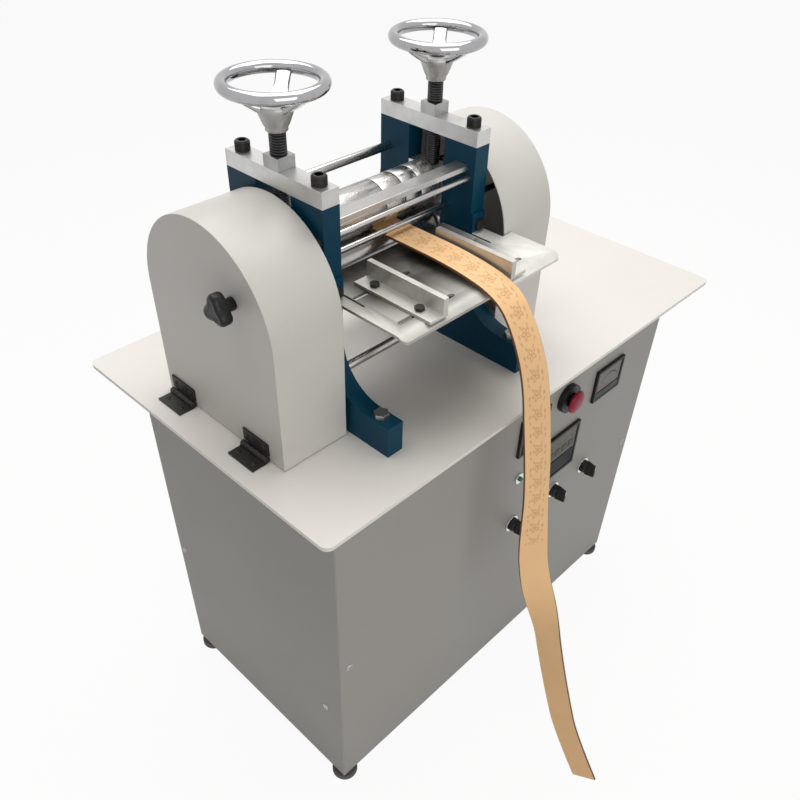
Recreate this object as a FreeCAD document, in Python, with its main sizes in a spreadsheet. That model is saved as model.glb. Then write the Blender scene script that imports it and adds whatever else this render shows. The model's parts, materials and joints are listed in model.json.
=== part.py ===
import FreeCAD, Part
import math
import os
import re
import Sketcher

Vector = FreeCAD.Vector
Rotation = FreeCAD.Rotation

# Driving dimensions in millimetres; head sizes are measured from the roller centre and the table top

SIZES = {
    "table_length": 880, "table_depth": 512, "table_thick": 6, "table_corner": 12,
    "table_overhang_x": 50, "table_overhang_y": 46, "cabinet_height": 658, "sheet_thick": 2,
    "post_side": 30, "post_wall": 2.5, "rail_height": 30, "rail_width": 20,
    "foot_height": 20, "foot_radius": 22, "foot_pad": 12, "foot_stud": 5,
    "head_margin": 306, "frame_gap": 236, "frame_thick": 26, "frame_depth": 172,
    "frame_height": 295, "toe_margin": 17, "toe_height": 46, "toe_curve": 70, "foot_bolt_inset": 25,
    "slot_width": 64, "slide_play": 0.2, "block_height": 44,
    "lower_axis": 163, "roller_radius": 30, "roll_gap": 4, "shaft_radius": 12.5,
    "running_play": 0.05, "ring_play": 0.5, "groove_depth": 1.2,
    "die_start": 15.5, "die_width": 35, "spare_start": 80.5, "spare_width": 34,
    "plate_thick": 20, "cap_spread": 68, "cap_head": 9, "cap_shank": 6,
    "nut_side": 26, "nut_height": 15, "screw_radius": 10, "wheel_clear": 26,
    "wheel_radius": 62.5, "rim_thick": 7, "wheel_rise": 50, "hub_height": 29,
    "gear_teeth": 16, "gear_width": 18, "gear_gap": 6, "gear_backlash": 0.4,
    "pulley_radius": 36, "pulley_width": 18, "pulley_gap": 6, "pulley_hub": 20, "groove_slope": 0.364,
    "belt_width": 13, "belt_height": 8, "belt_play": 0.3, "belt_centres": 420,
    "cover_depth": 105, "cover_gap": 6, "cover_width": 245, "cover_height": 290,
    "cover_sheet": 2, "hinge_rear": 86, "hinge_front": -70, "hinge_length": 50,
    "knuckle_radius": 4.5, "pin_radius": 2, "leaf_thick": 2.5, "leaf_reach": 24,
    "knob_place": -57, "knob_height": 213, "knob_lobe": 9, "knob_spread": 12, "knob_thick": 17,
    "guide_plate_level": 180, "guide_plate_thick": 4, "wing_left": -135, "wing_right": 163,
    "wing_back": -124, "fold_line": -196, "lip_reach": 12, "lip_drop": 5, "lip_corner": 9,
    "tongue_back": -40, "guide_wall": 8, "guide_height": 25, "guide_foot": 22,
    "guide_foot_thick": 4, "guide_front": -206, "guide_back": -78,
    "left_guide_face": -61, "right_guide_face": 57, "left_slot_start": -112, "left_slot_end": -22,
    "right_slot_start": 70, "right_slot_end": 110, "slot_half": 3.4,
    "screw_front": -178, "screw_back": -103,
    "strap_width": 46, "strap_thick": 3.4, "strap_centre": 30,
    "motor_radius": 52, "motor_length": 200, "box_length": 110, "box_side": 110,
    "rear_rod_radius": 6, "rod_spread": 70, "rod_drop": 39, "thin_rod": 4,
    "front_rod_place": -77, "front_rod_drop": 41, "low_rod_radius": 7, "low_rod_level": 58,
    "hold_down_place": -42, "hold_down_level": 207,
    "guard_front": -76, "guard_width": 22, "guard_drop": 31, "guard_thick": 7, "panel_inset": 265,
    "panel_bezel": 15.5, "mushroom_radius": 20, "mushroom_travel": 6, "button_travel": 3,
}

# Places worked out from the driving dimensions

PLACES = {
    "cabinet_length": "table_length - 2 * table_overhang_x",
    "cabinet_depth": "table_depth - 2 * table_overhang_y",
    "head_offset": "head_margin - table_length / 2",
    "toe_reach": "cabinet_depth / 2 - toe_margin",
    "vent_length": "cabinet_length / 5",
    "gland_place": "cabinet_length / 2 - 90",
    "gland_level": "foot_height + cabinet_height / 4",
    "table_under": "foot_height + cabinet_height",
    "table_top": "foot_height + cabinet_height + table_thick",
    "half_gap": "frame_gap / 2",
    "head_half": "frame_gap / 2 + frame_thick",
    "frame_top": "table_top + frame_height",
    "plate_top": "table_top + frame_height + plate_thick",
    "hub_bottom": "frame_height + plate_thick + nut_height + wheel_clear",
    "rim_height": "hub_bottom + wheel_rise",
    "rod_level": "frame_height - rod_drop",
    "front_rod_level": "frame_height - front_rod_drop",
    "guard_level": "frame_height - guard_drop",
    "panel_middle": "cabinet_length / 2 - panel_inset",
    "low_axis_z": "table_top + lower_axis",
    "axis_distance": "2 * roller_radius + roll_gap",
    "top_axis_z": "table_top + lower_axis + axis_distance",
    "block_width": "slot_width - 2 * slide_play",
    "bore_radius": "shaft_radius + running_play",
    "gear_left": "0 - head_half - gear_gap - gear_width",
    "pulley_left": "gear_left - pulley_gap - pulley_width",
    "belt_middle": "pulley_left + pulley_width / 2",
    "motor_axis_z": "low_axis_z - belt_centres",
    "box_left": "pulley_left + pulley_width + 17",
    "cover_inside": "head_half + cover_gap",
    "cover_face": "head_half + cover_gap + cover_depth",
    "hinge_out": "cover_face + knuckle_radius + 0.5",
    "hinge_up": "table_top + knuckle_radius + 0.5",
    "panel_inside": "cabinet_length / 2 - sheet_thick",
    "panel_back": "cabinet_depth / 2 - sheet_thick",
    "panel_face": "0 - cabinet_depth / 2",
    "floor_top": "foot_height + rail_height + sheet_thick",
    "strap_level": "lower_axis + roller_radius + roll_gap / 2",
    "guide_plate_z": "table_top + guide_plate_level",
}

NAME = re.compile(r"[a-z_]+")

DOC = FreeCAD.newDocument("belt_embosser")
SHEET = DOC.addObject("Spreadsheet::Sheet", "Sizes")
for row, (alias, value) in enumerate(SIZES.items(), start=1):
    SHEET.set("A%d" % row, alias)
    SHEET.set("B%d" % row, str(value))
    SHEET.setAlias("B%d" % row, alias)
DOC.recompute()


def spelled(text):
    """Write a formula with the driving dimensions alone."""
    while True:
        longer = NAME.sub(lambda word: "(%s)" % PLACES[word[0]] if word[0] in PLACES else word[0], str(text))
        if longer == text:
            return longer
        text = longer


def formula(text):
    """The formula as an expression on the sheet."""
    return NAME.sub(lambda word: "Sizes." + word[0] if word[0] in SIZES else word[0], spelled(text))


def number(text):
    """The formula's value in millimetres."""
    figures = NAME.sub(lambda word: "(%r)" % float(SHEET.get(word[0])) if word[0] in SIZES else word[0],
                       spelled(text))
    return FreeCAD.Units.Quantity(figures).Value


def head(text):
    """A place along the rollers, measured from the roller centre."""
    return "head_offset + (%s)" % text


def above(text):
    """A height above the table top."""
    return "table_top + (%s)" % text


# Solids with their sizes bound to the sheet

AXES = {"x": Rotation(Vector(0, 1, 0), 90), "y": Rotation(Vector(1, 0, 0), -90), "z": Rotation()}


def place(item, spot):
    for axis, text in zip("xyz", spot):
        item.setExpression("Placement.Base." + axis, formula(text))
    return item


def box(name, low, size):
    item = DOC.addObject("Part::Box", name)
    for side, text in zip(("Length", "Width", "Height"), size):
        item.setExpression(side, formula(text))
    return place(item, low)


def rod(name, axis, start, radius, length):
    item = DOC.addObject("Part::Cylinder", name)
    item.Placement.Rotation = AXES[axis]
    item.setExpression("Radius", formula(radius))
    item.setExpression("Height", formula(length))
    return place(item, start)


def cone(name, axis, start, first, last, length):
    item = DOC.addObject("Part::Cone", name)
    item.Placement.Rotation = AXES[axis]
    for side, text in (("Radius1", first), ("Radius2", last), ("Height", length)):
        item.setExpression(side, formula(text))
    return place(item, start)


def hexagon(name, axis, start, radius, length):
    item = DOC.addObject("Part::Prism", name)
    item.Polygon = 6
    item.Placement.Rotation = AXES[axis]
    item.setExpression("Circumradius", formula(radius))
    item.setExpression("Height", formula(length))
    return place(item, start)


def group(name, items):
    item = DOC.addObject("Part::Compound", name)
    item.Links = items
    return item


def fuse(name, items):
    item = DOC.addObject("Part::MultiFuse", name)
    item.Shapes = items
    return item


def cut(name, base, tools):
    item = DOC.addObject("Part::Cut", name)
    item.Base = base
    item.Tool = tools[0] if len(tools) == 1 else group(name + "_cuts", tools)
    return item


def feature(name, shape):
    item = DOC.addObject("Part::Feature", name)
    item.Shape = shape
    return item


# Bodies drawn as sketches and features

def body(name):
    item = DOC.addObject("PartDesign::Body", name)
    item.Label = name
    return item


def origin_part(item, role):
    return next(part for part in item.Origin.OriginFeatures if part.Role == role)


def sketch(item, role, name, lift="0"):
    drawing = item.newObject("Sketcher::SketchObject", name)
    drawing.AttachmentSupport = [(origin_part(item, role), "")]
    drawing.MapMode = "FlatFace"
    drawing.setExpression("AttachmentOffset.Base.z", formula(lift))
    return drawing


def fixed(drawing, kind, edge, end, text):
    """Bind one coordinate of a point of the drawing to a formula."""
    index = drawing.addConstraint(Sketcher.Constraint(kind, -1, 1, edge, end, number(text)))
    drawing.setExpression("Constraints[%d]" % index, formula(text))


def circle(drawing, across, up, radius):
    centre = Vector(number(across), number(up), 0)
    edge = drawing.addGeometry(Part.Circle(centre, Vector(0, 0, 1), number(radius)), False)
    index = drawing.addConstraint(Sketcher.Constraint("Radius", edge, number(radius)))
    drawing.setExpression("Constraints[%d]" % index, formula(radius))
    if abs(centre.x) + abs(centre.y) < 1e-9 and across == "0" and up == "0":
        drawing.addConstraint(Sketcher.Constraint("Coincident", edge, 3, -1, 1))
        return
    fixed(drawing, "DistanceX", edge, 3, across)
    fixed(drawing, "DistanceY", edge, 3, up)


def outline(drawing, corners):
    """Draw a closed outline; a corner with a radius and a turn ends an arc, other corners end a line.

    The arc's turn is 1 where it runs anticlockwise and -1 where it runs clockwise.
    """
    spots = [Vector(number(corner[0]), number(corner[1]), 0) for corner in corners]
    edges = []
    for order, corner in enumerate(corners):
        start = spots[order - 1]
        stop = spots[order]
        if len(corner) == 2:
            edges.append((drawing.addGeometry(Part.LineSegment(start, stop), False), 1, 2))
            continue
        radius = number(corner[2])
        chord = stop - start
        across = Vector(-chord.y, chord.x, 0).normalize() * corner[3]
        rise = math.sqrt(max(radius ** 2 - (chord.Length / 2) ** 2, 0))
        middle = (start + stop) / 2 - across * (radius - rise)
        edge = drawing.addGeometry(Part.Arc(start, middle, stop), False)
        edges.append((edge, 1, 2) if corner[3] > 0 else (edge, 2, 1))
        if rise < 1e-6:
            level = abs(chord.y) < 1e-9
            fixed(drawing, "DistanceY" if level else "DistanceX", edge, 3, corner[1] if level else corner[0])
            continue
        index = drawing.addConstraint(Sketcher.Constraint("Radius", edge, radius))
        drawing.setExpression("Constraints[%d]" % index, formula(corner[2]))
    for order, (edge, first, last) in enumerate(edges):
        follower, begin, _ = edges[(order + 1) % len(edges)]
        drawing.addConstraint(Sketcher.Constraint("Coincident", edge, last, follower, begin))
        fixed(drawing, "DistanceX", edge, last, corners[order][0])
        fixed(drawing, "DistanceY", edge, last, corners[order][1])


def pad(item, drawing, name, length):
    step = item.newObject("PartDesign::Pad", name)
    step.Profile = drawing
    step.setExpression("Length", formula(length))
    return step


def pocket(item, drawing, name):
    """Cut a drawing through the whole body, both ways."""
    step = item.newObject("PartDesign::Pocket", name)
    step.Profile = drawing
    step.SideType = "Symmetric"
    step.Type = "ThroughAll"
    return step


def turned(item, drawing, name, axis="V_Axis"):
    step = item.newObject("PartDesign::Revolution", name)
    step.Profile = drawing
    step.ReferenceAxis = (drawing, [axis])
    step.Angle = 360
    return step


def turned_piece(name, axis, spot, profile):
    """A lathe-turned piece; its profile is (distance along the axis, radius)."""
    item = body(name)
    drawing = sketch(item, "XZ_Plane", name + "_profile")
    outline(drawing, [(radius, along) for along, radius in profile])
    turned(item, drawing, name + "_turning")
    item.Placement.Rotation = AXES[axis]
    return place(item, spot)


PARTS = []


def keep(item, name):
    item.Label = name
    PARTS.append(item)
    return item


SIDES = (("left", -1), ("right", 1))


# Cabinet: feet, posts, rails, floor, panels and their screws

def corners_of(reach_x, reach_y):
    for side_x in (-1, 1):
        for side_y in (-1, 1):
            yield side_x, side_y, "%d * (%s)" % (side_x, reach_x), "%d * (%s)" % (side_y, reach_y)


def cabinet_feet_and_posts():
    feet = []
    posts = []
    middle = "post_side / 2"
    places = corners_of("panel_inside - " + middle, "panel_back - " + middle)
    for number_of, (_, _, x, y) in enumerate(places):
        pad_disc = rod("foot_pad_%d" % number_of, "z", (x, y, "0"), "foot_radius", "foot_pad")
        neck = rod("foot_neck_%d" % number_of, "z", (x, y, "foot_pad"), "foot_stud * 2",
                   "foot_height - foot_pad")
        stud = rod("foot_stud_%d" % number_of, "z", (x, y, "foot_height"), "foot_stud", "rail_height - 4")
        feet.append(fuse("foot_%d" % number_of, [pad_disc, neck, stud]))
        low = (x + " - " + middle, y + " - " + middle, "foot_height")
        tube = box("post_tube_%d" % number_of, low, ("post_side", "post_side", "cabinet_height"))
        hollow_side = "post_side - 2 * post_wall"
        hollow = box("post_hollow_%d" % number_of,
                     (low[0] + " + post_wall", low[1] + " + post_wall", "foot_height + 2 * post_wall"),
                     (hollow_side, hollow_side, "cabinet_height"))
        bore = rod("post_bore_%d" % number_of, "z", (x, y, "foot_height - 1"), "foot_stud + 0.1",
                   "2 * post_wall + 2")
        posts.append(cut("post_%d" % number_of, tube, [hollow, bore]))
    keep(group("levelling_feet", feet), "levelling_feet")
    keep(group("corner_posts", posts), "corner_posts")


def cabinet_rails_and_floor():
    rails = []
    long_reach = "panel_inside - post_side"
    deep_reach = "panel_back - post_side"
    for level, low_z in (("low", "foot_height"), ("top", "table_under - rail_height")):
        for name, y in (("front", "0 - panel_back"), ("back", "panel_back - rail_width")):
            rails.append(box("%s_%s_rail" % (level, name), ("0 - (%s)" % long_reach, y, low_z),
                             ("2 * (%s)" % long_reach, "rail_width", "rail_height")))
        for name, x in (("left", "0 - panel_inside"), ("right", "panel_inside - rail_width")):
            rails.append(box("%s_%s_rail" % (level, name), (x, "0 - (%s)" % deep_reach, low_z),
                             ("rail_width", "2 * (%s)" % deep_reach, "rail_height")))
    keep(group("frame_rails", rails), "frame_rails")
    keep(box("floor_pan", ("0 - (%s)" % long_reach, "0 - panel_back", "foot_height + rail_height"),
             ("2 * (%s)" % long_reach, "2 * panel_back", "sheet_thick")), "floor_pan")


# Places on the front panel: across from the controls' middle, and down from the table top

SELECTORS = {"left_selector": -114, "middle_selector": 5, "right_selector": 98}
SELECTOR_DROP = 320
STOP_ACROSS, STOP_DROP = -9, 104
START_ACROSS, START_DROP = -114, 214
METER = {"across": 115, "drop": 130, "width": 80, "height": 64, "deep": 42}
CONTROLLER = {"across": 0, "drop": 228, "width": 96, "height": 96, "deep": 72}
COUNTER = {"across": -95, "drop": 124, "width": 72, "height": 72, "deep": 60}
BEZEL_RIM = 5
PANEL_SCREWS = [(side, along, drop) for side in ("left", "right") for along, drop in (
    ("38 - cabinet_depth / 2", 484), ("cabinet_depth / 2 - 12", 401))]
PANEL_SCREWS += [(side, "%d * (cabinet_length / 2 - %d)" % (way, inset), drop)
                 for side, inset, drop in (("front", 20, 352), ("back", 30, 90), ("back", 30, 560))
                 for way in (-1, 1)]


def below(drop):
    return "table_top - %s" % drop


def along_panel(distance):
    return "panel_middle + %s" % distance


def control_hole(name, across, drop, radius):
    return rod(name, "y", (along_panel(across), "panel_face - 1", below(drop)), radius, "sheet_thick + 2")


def instrument_hole(name, kind):
    width = kind["width"] - 2 * BEZEL_RIM
    height = kind["height"] - 2 * BEZEL_RIM
    return box(name,
               (along_panel(kind["across"] - width / 2), "panel_face - 1", below(kind["drop"] + height / 2)),
               (width, "sheet_thick + 2", height))


def instrument(name, kind):
    """A flush instrument: a bezel on the panel, a case behind it and a recessed window."""
    width, height = kind["width"], kind["height"]
    bezel = box(name + "_bezel",
                (along_panel(kind["across"] - width / 2), "panel_face - 6", below(kind["drop"] + height / 2)),
                (width, 6, height))
    play = BEZEL_RIM + 0.5
    case = box(name + "_case",
               (along_panel(kind["across"] - width / 2 + play), "panel_face",
                below(kind["drop"] + height / 2 - play)),
               (width - 2 * play, kind["deep"], height - 2 * play))
    rim = BEZEL_RIM
    window = box(name + "_window",
                 (along_panel(kind["across"] - width / 2 + rim), "panel_face - 7",
                  below(kind["drop"] + height / 2 - rim)),
                 (width - 2 * rim, 3, height - 2 * rim))
    return cut(name, fuse(name + "_housing", [bezel, case]), [window])


def cabinet_panels():
    for side, x in (("left", "0 - cabinet_length / 2"), ("right", "panel_inside")):
        keep(box(side + "_panel", (x, "0 - cabinet_depth / 2", "foot_height"),
                 ("sheet_thick", "cabinet_depth", "cabinet_height")), side + "_panel")
    sheet = box("front_sheet", ("0 - panel_inside", "panel_face", "foot_height"),
                ("2 * panel_inside", "sheet_thick", "cabinet_height"))
    holes = [control_hole(name + "_hole", across, SELECTOR_DROP, 11) for name, across in SELECTORS.items()]
    holes.append(control_hole("stop_hole", STOP_ACROSS, STOP_DROP, 11))
    holes.append(control_hole("start_hole", START_ACROSS, START_DROP, 8))
    for name, kind in (("meter", METER), ("controller", CONTROLLER), ("counter", COUNTER)):
        holes.append(instrument_hole(name + "_cutout", kind))
    keep(cut("front_panel", sheet, holes), "front_panel")
    back = box("back_sheet", ("0 - panel_inside", "panel_back", "foot_height"),
               ("2 * panel_inside", "sheet_thick", "cabinet_height"))
    vents = []
    for column, across in enumerate(("0 - 0.295 * cabinet_length", "0.09 * cabinet_length")):
        for line in range(6):
            spot = (across, "panel_back - 1", below(140 + 22 * line))
            vents.append(box("vent_%d_%d" % (column, line), spot, ("vent_length", "sheet_thick + 2", 6)))
    vents.append(rod("inlet_hole", "y", ("gland_place", "panel_back - 1", "gland_level"), 10.2,
                     "sheet_thick + 2"))
    keep(cut("rear_panel", back, vents), "rear_panel")
    outside = {"left": ("x", "0 - cabinet_length / 2 - 2.5"), "right": ("x", "cabinet_length / 2"),
               "front": ("y", "panel_face - 2.5"), "back": ("y", "cabinet_depth / 2")}
    screws = []
    for order, (side, along, drop) in enumerate(PANEL_SCREWS):
        axis, face = outside[side]
        spot = (face, along, below(drop)) if axis == "x" else (along, face, below(drop))
        screws.append(rod("panel_screw_%d" % order, axis, spot, 6, 2.5))
    keep(group("panel_screws", screws), "panel_screws")


def cable_gland():
    across, level = "gland_place", "gland_level"
    flange = hexagon("gland_flange", "y", (across, "cabinet_depth / 2", level), 16, 7)
    dome = cone("gland_dome", "y", (across, "cabinet_depth / 2 + 7", level), 13, 10, 14)
    thread = rod("gland_thread", "y", (across, "panel_back - 12", level), 10, "sheet_thick + 12")
    bore = rod("gland_bore", "y", (across, "panel_back - 13", level), 5, "sheet_thick + 40")
    keep(cut("cable_gland", fuse("gland_solid", [flange, dome, thread]), [bore]), "cable_gland")


def table():
    item = body("table_top")
    drawing = sketch(item, "XY_Plane", "table_outline", "table_under")
    half_x, half_y = "table_length / 2", "table_depth / 2"
    arc = ("table_corner", 1)
    outline(drawing, [
        (half_x + " - table_corner", "0 - " + half_y),
        (half_x, "0 - %s + table_corner" % half_y) + arc,
        (half_x, half_y + " - table_corner"),
        (half_x + " - table_corner", half_y) + arc,
        ("0 - %s + table_corner" % half_x, half_y),
        ("0 - " + half_x, half_y + " - table_corner") + arc,
        ("0 - " + half_x, "0 - %s + table_corner" % half_y),
        ("0 - %s + table_corner" % half_x, "0 - " + half_y) + arc])
    pad(item, drawing, "table_plate", "table_thick")
    holes = sketch(item, "XY_Plane", "table_holes", "table_under")
    for x, y in bolt_places():
        circle(holes, x, y, "cap_shank + 0.3")
    reach = "(pulley_radius + 10)"
    low, high = head("belt_middle - belt_width"), head("belt_middle + belt_width")
    outline(holes, [(high, "0 - " + reach), (high, reach), (low, reach), (low, "0 - " + reach)])
    circle(holes, head("cover_inside + 40"), "60", "9")
    pocket(item, holes, "table_drilling")
    keep(item, "table_top")


def bolt_places():
    for _, side in SIDES:
        for way in (-1, 1):
            yield head("%d * (half_gap + frame_thick / 2)" % side), "%d * (toe_reach - foot_bolt_inset)" % way


# Head: side frames, top plates, fasteners and rods

def frame_profile():
    half = "frame_depth / 2"
    slot = "slot_width / 2"
    low_slot = above("lower_axis - block_height / 2")
    curve_start = above("toe_height + toe_curve")
    toe = above("toe_height")
    foot = above("0")
    return [
        ("0 - toe_reach", foot), ("toe_reach", foot), ("toe_reach", toe), (half + " + toe_curve", toe),
        (half, curve_start, "toe_curve", -1),
        (half, "frame_top"), (slot, "frame_top"), (slot, low_slot), ("0 - " + slot, low_slot),
        ("0 - " + slot, "frame_top"), ("0 - " + half, "frame_top"), ("0 - " + half, curve_start),
        ("0 - %s - toe_curve" % half, toe, "toe_curve", -1),
        ("0 - toe_reach", toe)]


RODS = (("rear_rod_radius", "rod_spread", "rod_level"), ("thin_rod", "front_rod_place", "front_rod_level"),
        ("low_rod_radius", "0 - rod_spread", "low_rod_level"),
        ("low_rod_radius", "rod_spread", "low_rod_level"),
        ("thin_rod", "hold_down_place", "hold_down_level"))


def side_frame(side, way):
    name = side + "_frame"
    item = body(name + "_casting")
    inner = head("half_gap") if way > 0 else head("0 - head_half")
    drawing = sketch(item, "YZ_Plane", name + "_profile", inner)
    outline(drawing, frame_profile())
    pad(item, drawing, name + "_plate", "frame_thick")
    cross = sketch(item, "YZ_Plane", name + "_rod_holes", inner)
    for radius, y, z in RODS:
        circle(cross, y, above(z), radius + " + 0.1")
    pocket(item, cross, name + "_rod_drilling")
    middle = head("%d * (half_gap + frame_thick / 2)" % way)
    tools = []
    for end in (-1, 1):
        y = "%d * (toe_reach - foot_bolt_inset)" % end
        tools.append(rod("%s_foot_hole_%d" % (name, end), "z", (middle, y, "table_top - 1"),
                         "cap_shank + 0.3", "toe_height + 2"))
        tools.append(rod("%s_cap_hole_%d" % (name, end), "z",
                         (middle, "%d * cap_spread" % end, "frame_top - 32"),
                         "cap_shank + 0.2", "33"))
    outer = head("0 - head_half - 1") if way < 0 else head("head_half - 9")
    tools.append(rod(name + "_knob_hole", "x", (outer, "knob_place", above("knob_height")), "4.7", "10"))
    tools.append(rod(name + "_tab_hole", "y", (middle, "0 - frame_depth / 2 - 1", above("190")), "4.2", "24"))
    keep(cut(name + "_drilled", item, tools), name)


def top_plates_and_nuts():
    plates, nuts = [], []
    for side, way in SIDES:
        middle = head("%d * (half_gap + frame_thick / 2)" % way)
        low = head("half_gap") if way > 0 else head("0 - head_half")
        slab = box(side + "_slab", (low, "0 - frame_depth / 2", "frame_top"),
                   ("frame_thick", "frame_depth", "plate_thick"))
        holes = [rod("%s_slab_hole_%d" % (side, end), "z", (middle, "%d * cap_spread" % end, "frame_top - 1"),
                     "cap_shank + 0.2", "plate_thick + 2") for end in (-1, 1)]
        holes.append(rod(side + "_slab_bore", "z", (middle, "0", "frame_top - 1"), "screw_radius + 1",
                         "plate_thick + 2"))
        plates.append(cut(side + "_top_plate", slab, holes))
        block = box(side + "_nut_block", (middle + " - nut_side / 2", "0 - nut_side / 2", "plate_top"),
                    ("nut_side", "nut_side", "nut_height"))
        bore = rod(side + "_nut_bore", "z", (middle, "0", "plate_top - 1"), "screw_radius + running_play",
                   "nut_height + 2")
        nuts.append(cut(side + "_screw_nut", block, [bore]))
    keep(group("top_plates", plates), "top_plates")
    keep(group("screw_nuts", nuts), "screw_nuts")


def fasteners():
    caps, bolts = [], []
    for side, way in SIDES:
        middle = head("%d * (half_gap + frame_thick / 2)" % way)
        for end in (-1, 1):
            tag = "%s_%d" % (side, end)
            y = "%d * cap_spread" % end
            shape = fuse("cap_solid_" + tag, [
                rod("cap_head_" + tag, "z", (middle, y, "plate_top"), "cap_head", "12"),
                rod("cap_shank_" + tag, "z", (middle, y, "frame_top - 30"), "cap_shank", "plate_thick + 30")])
            socket = hexagon("cap_socket_" + tag, "z", (middle, y, "plate_top + 6"), "5.5", "7")
            caps.append(cut("cap_screw_" + tag, shape, [socket]))
            y = "%d * (toe_reach - foot_bolt_inset)" % end
            bolts.append(fuse("foot_bolt_" + tag, [
                hexagon("bolt_head_" + tag, "z", (middle, y, above("toe_height")), "10.5", "7"),
                rod("bolt_shank_" + tag, "z", (middle, y, "table_under - 14"), "cap_shank",
                    "toe_height + table_thick + 14")]))
            nut = hexagon("bolt_nut_solid_" + tag, "z", (middle, y, "table_under - 9"), "10.5", "9")
            thread = rod("bolt_thread_" + tag, "z", (middle, y, "table_under - 10"), "cap_shank + 0.05", "11")
            bolts.append(cut("bolt_nut_" + tag, nut, [thread]))
        y = "0 - frame_depth / 2 - guide_plate_thick"
        bolts.append(fuse("tab_bolt_" + side, [
            hexagon("tab_head_" + side, "y", (middle, y + " - 5", above("190")), "8", "5"),
            rod("tab_shank_" + side, "y", (middle, y, above("190")), "4", "24")]))
        for order, (radius, y, z) in enumerate(RODS):
            low = head("head_half") if way > 0 else head("0 - head_half - 4.5")
            tag = "%s_%d" % (side, order)
            ring = hexagon("rod_nut_solid_" + tag, "x", (low, y, above(z)), radius + " * 1.7", "4.5")
            bore = rod("rod_nut_bore_" + tag, "x", (low + " - 1", y, above(z)), radius + " + 0.05", "7")
            bolts.append(cut("rod_nut_" + tag, ring, [bore]))
    keep(group("cap_screws", caps), "cap_screws")
    keep(group("hex_fasteners", bolts), "hex_fasteners")


def cross_rods():
    reach = "head_half + 4.5"
    start, length = head("0 - (%s)" % reach), "2 * (%s)" % reach
    rods = [rod("tie_rod_%d" % order, "x", (start, y, above(z)), radius, length)
            for order, (radius, y, z) in enumerate(RODS)]
    keep(group("tie_rods", rods), "tie_rods")
    keep(box("guard_bar", (head("0 - half_gap"), "guard_front", above("guard_level")),
             ("frame_gap", "guard_width", "guard_thick")), "guard_bar")


# Lifting gear: bearing blocks, springs, screws and handwheels

def bearing_blocks():
    half = "block_height / 2"
    for level, axis_z in (("upper", "top_axis_z"), ("lower", "low_axis_z")):
        blocks = []
        for side, way in SIDES:
            low = head("half_gap") if way > 0 else head("0 - head_half")
            name = "%s_%s_block" % (level, side)
            solid = box(name + "_solid", (low, "0 - block_width / 2", axis_z + " - " + half),
                        ("frame_thick", "block_width", "block_height"))
            tools = [rod(name + "_bore", "x", (low + " - 1", "0", axis_z), "bore_radius", "frame_thick + 2")]
            if level == "upper":
                middle = low + " + frame_thick / 2"
                tools.append(rod(name + "_seat", "z", (middle, "0", axis_z + " + shaft_radius + 2.5"),
                                 "8 + running_play", half))
            blocks.append(cut(name, solid, tools))
        keep(group(level + "_bearing_blocks", blocks), level + "_bearing_blocks")


def return_springs():
    springs = []
    low = "low_axis_z + block_height / 2 + 0.3"
    length = "axis_distance - block_height - 0.6"
    for side, way in SIDES:
        middle = head("%d * (half_gap + frame_thick / 2)" % way)
        for end in (-1, 1):
            tag = "%s_%d" % (side, end)
            outer = rod("spring_outer_" + tag, "z", (middle, "%d * 22" % end, low), "5", length)
            inner = rod("spring_inner_" + tag, "z", (middle, "%d * 22" % end, low + " - 1"), "3.4",
                        length + " + 2")
            springs.append(cut("spring_" + tag, outer, [inner]))
    keep(group("return_springs", springs), "return_springs")


def spoke(name, angle):
    """A flat spoke that rises from the hub to the rim."""
    start = number("hub_bottom + hub_height - rim_height")
    reach = number("wheel_radius - rim_thick")
    profile = [(12, start - 7), (reach, -3), (reach, 3), (12, start)]
    corners = [Vector(x, -9, z) for x, z in profile]
    face = Part.Face(Part.makePolygon(corners + corners[:1]))
    bar = face.extrude(Vector(0, 18, 0))
    bar.rotate(Vector(), Vector(0, 0, 1), angle)
    return feature(name, bar)


def handwheel(side, way):
    name = side + "_handwheel"
    middle = head("%d * (half_gap + frame_thick / 2)" % way)
    rim = DOC.addObject("Part::Torus", name + "_rim")
    rim.setExpression("Radius1", formula("wheel_radius - rim_thick"))
    rim.setExpression("Radius2", formula("rim_thick"))
    hub_low = "hub_bottom - rim_height"
    hub = cone(name + "_hub", "z", ("0", "0", hub_low), "13", "22", "hub_height")
    spokes = [spoke("%s_spoke_%d" % (name, order), 38 + 120 * order) for order in range(3)]
    bore = rod(name + "_bore", "z", ("0", "0", hub_low + " - 1"), "8 + running_play", "hub_height + 2")
    wheel = cut(name + "_bored", fuse(name + "_casting", [rim, hub] + spokes), [bore])
    place(wheel, (middle, "0", above("rim_height")))
    keep(wheel, name)


def lift_screw(side, way):
    name = side + "_lift_screw"
    middle = head("%d * (half_gap + frame_thick / 2)" % way)
    seat = "top_axis_z + shaft_radius + 2.5 + 0.3"
    block_top = "top_axis_z + block_height / 2 + 0.3"
    hub = above("hub_bottom")
    top = above("hub_bottom + hub_height")
    profile = [("0", "0"), ("0", "8"), (block_top + " - (%s)" % seat, "8"),
               (block_top + " - (%s)" % seat, "screw_radius"), ("%s - (%s)" % (hub, seat), "screw_radius"),
               ("%s - (%s)" % (hub, seat), "8"), ("%s - (%s)" % (top, seat), "8"),
               ("%s - (%s)" % (top, seat), "11"), ("%s - (%s) + 6" % (top, seat), "9"),
               ("%s - (%s) + 6" % (top, seat), "0")]
    keep(turned_piece(name, "z", (middle, "0", seat), profile), name)


# Rollers, gears and the belt drive

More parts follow.
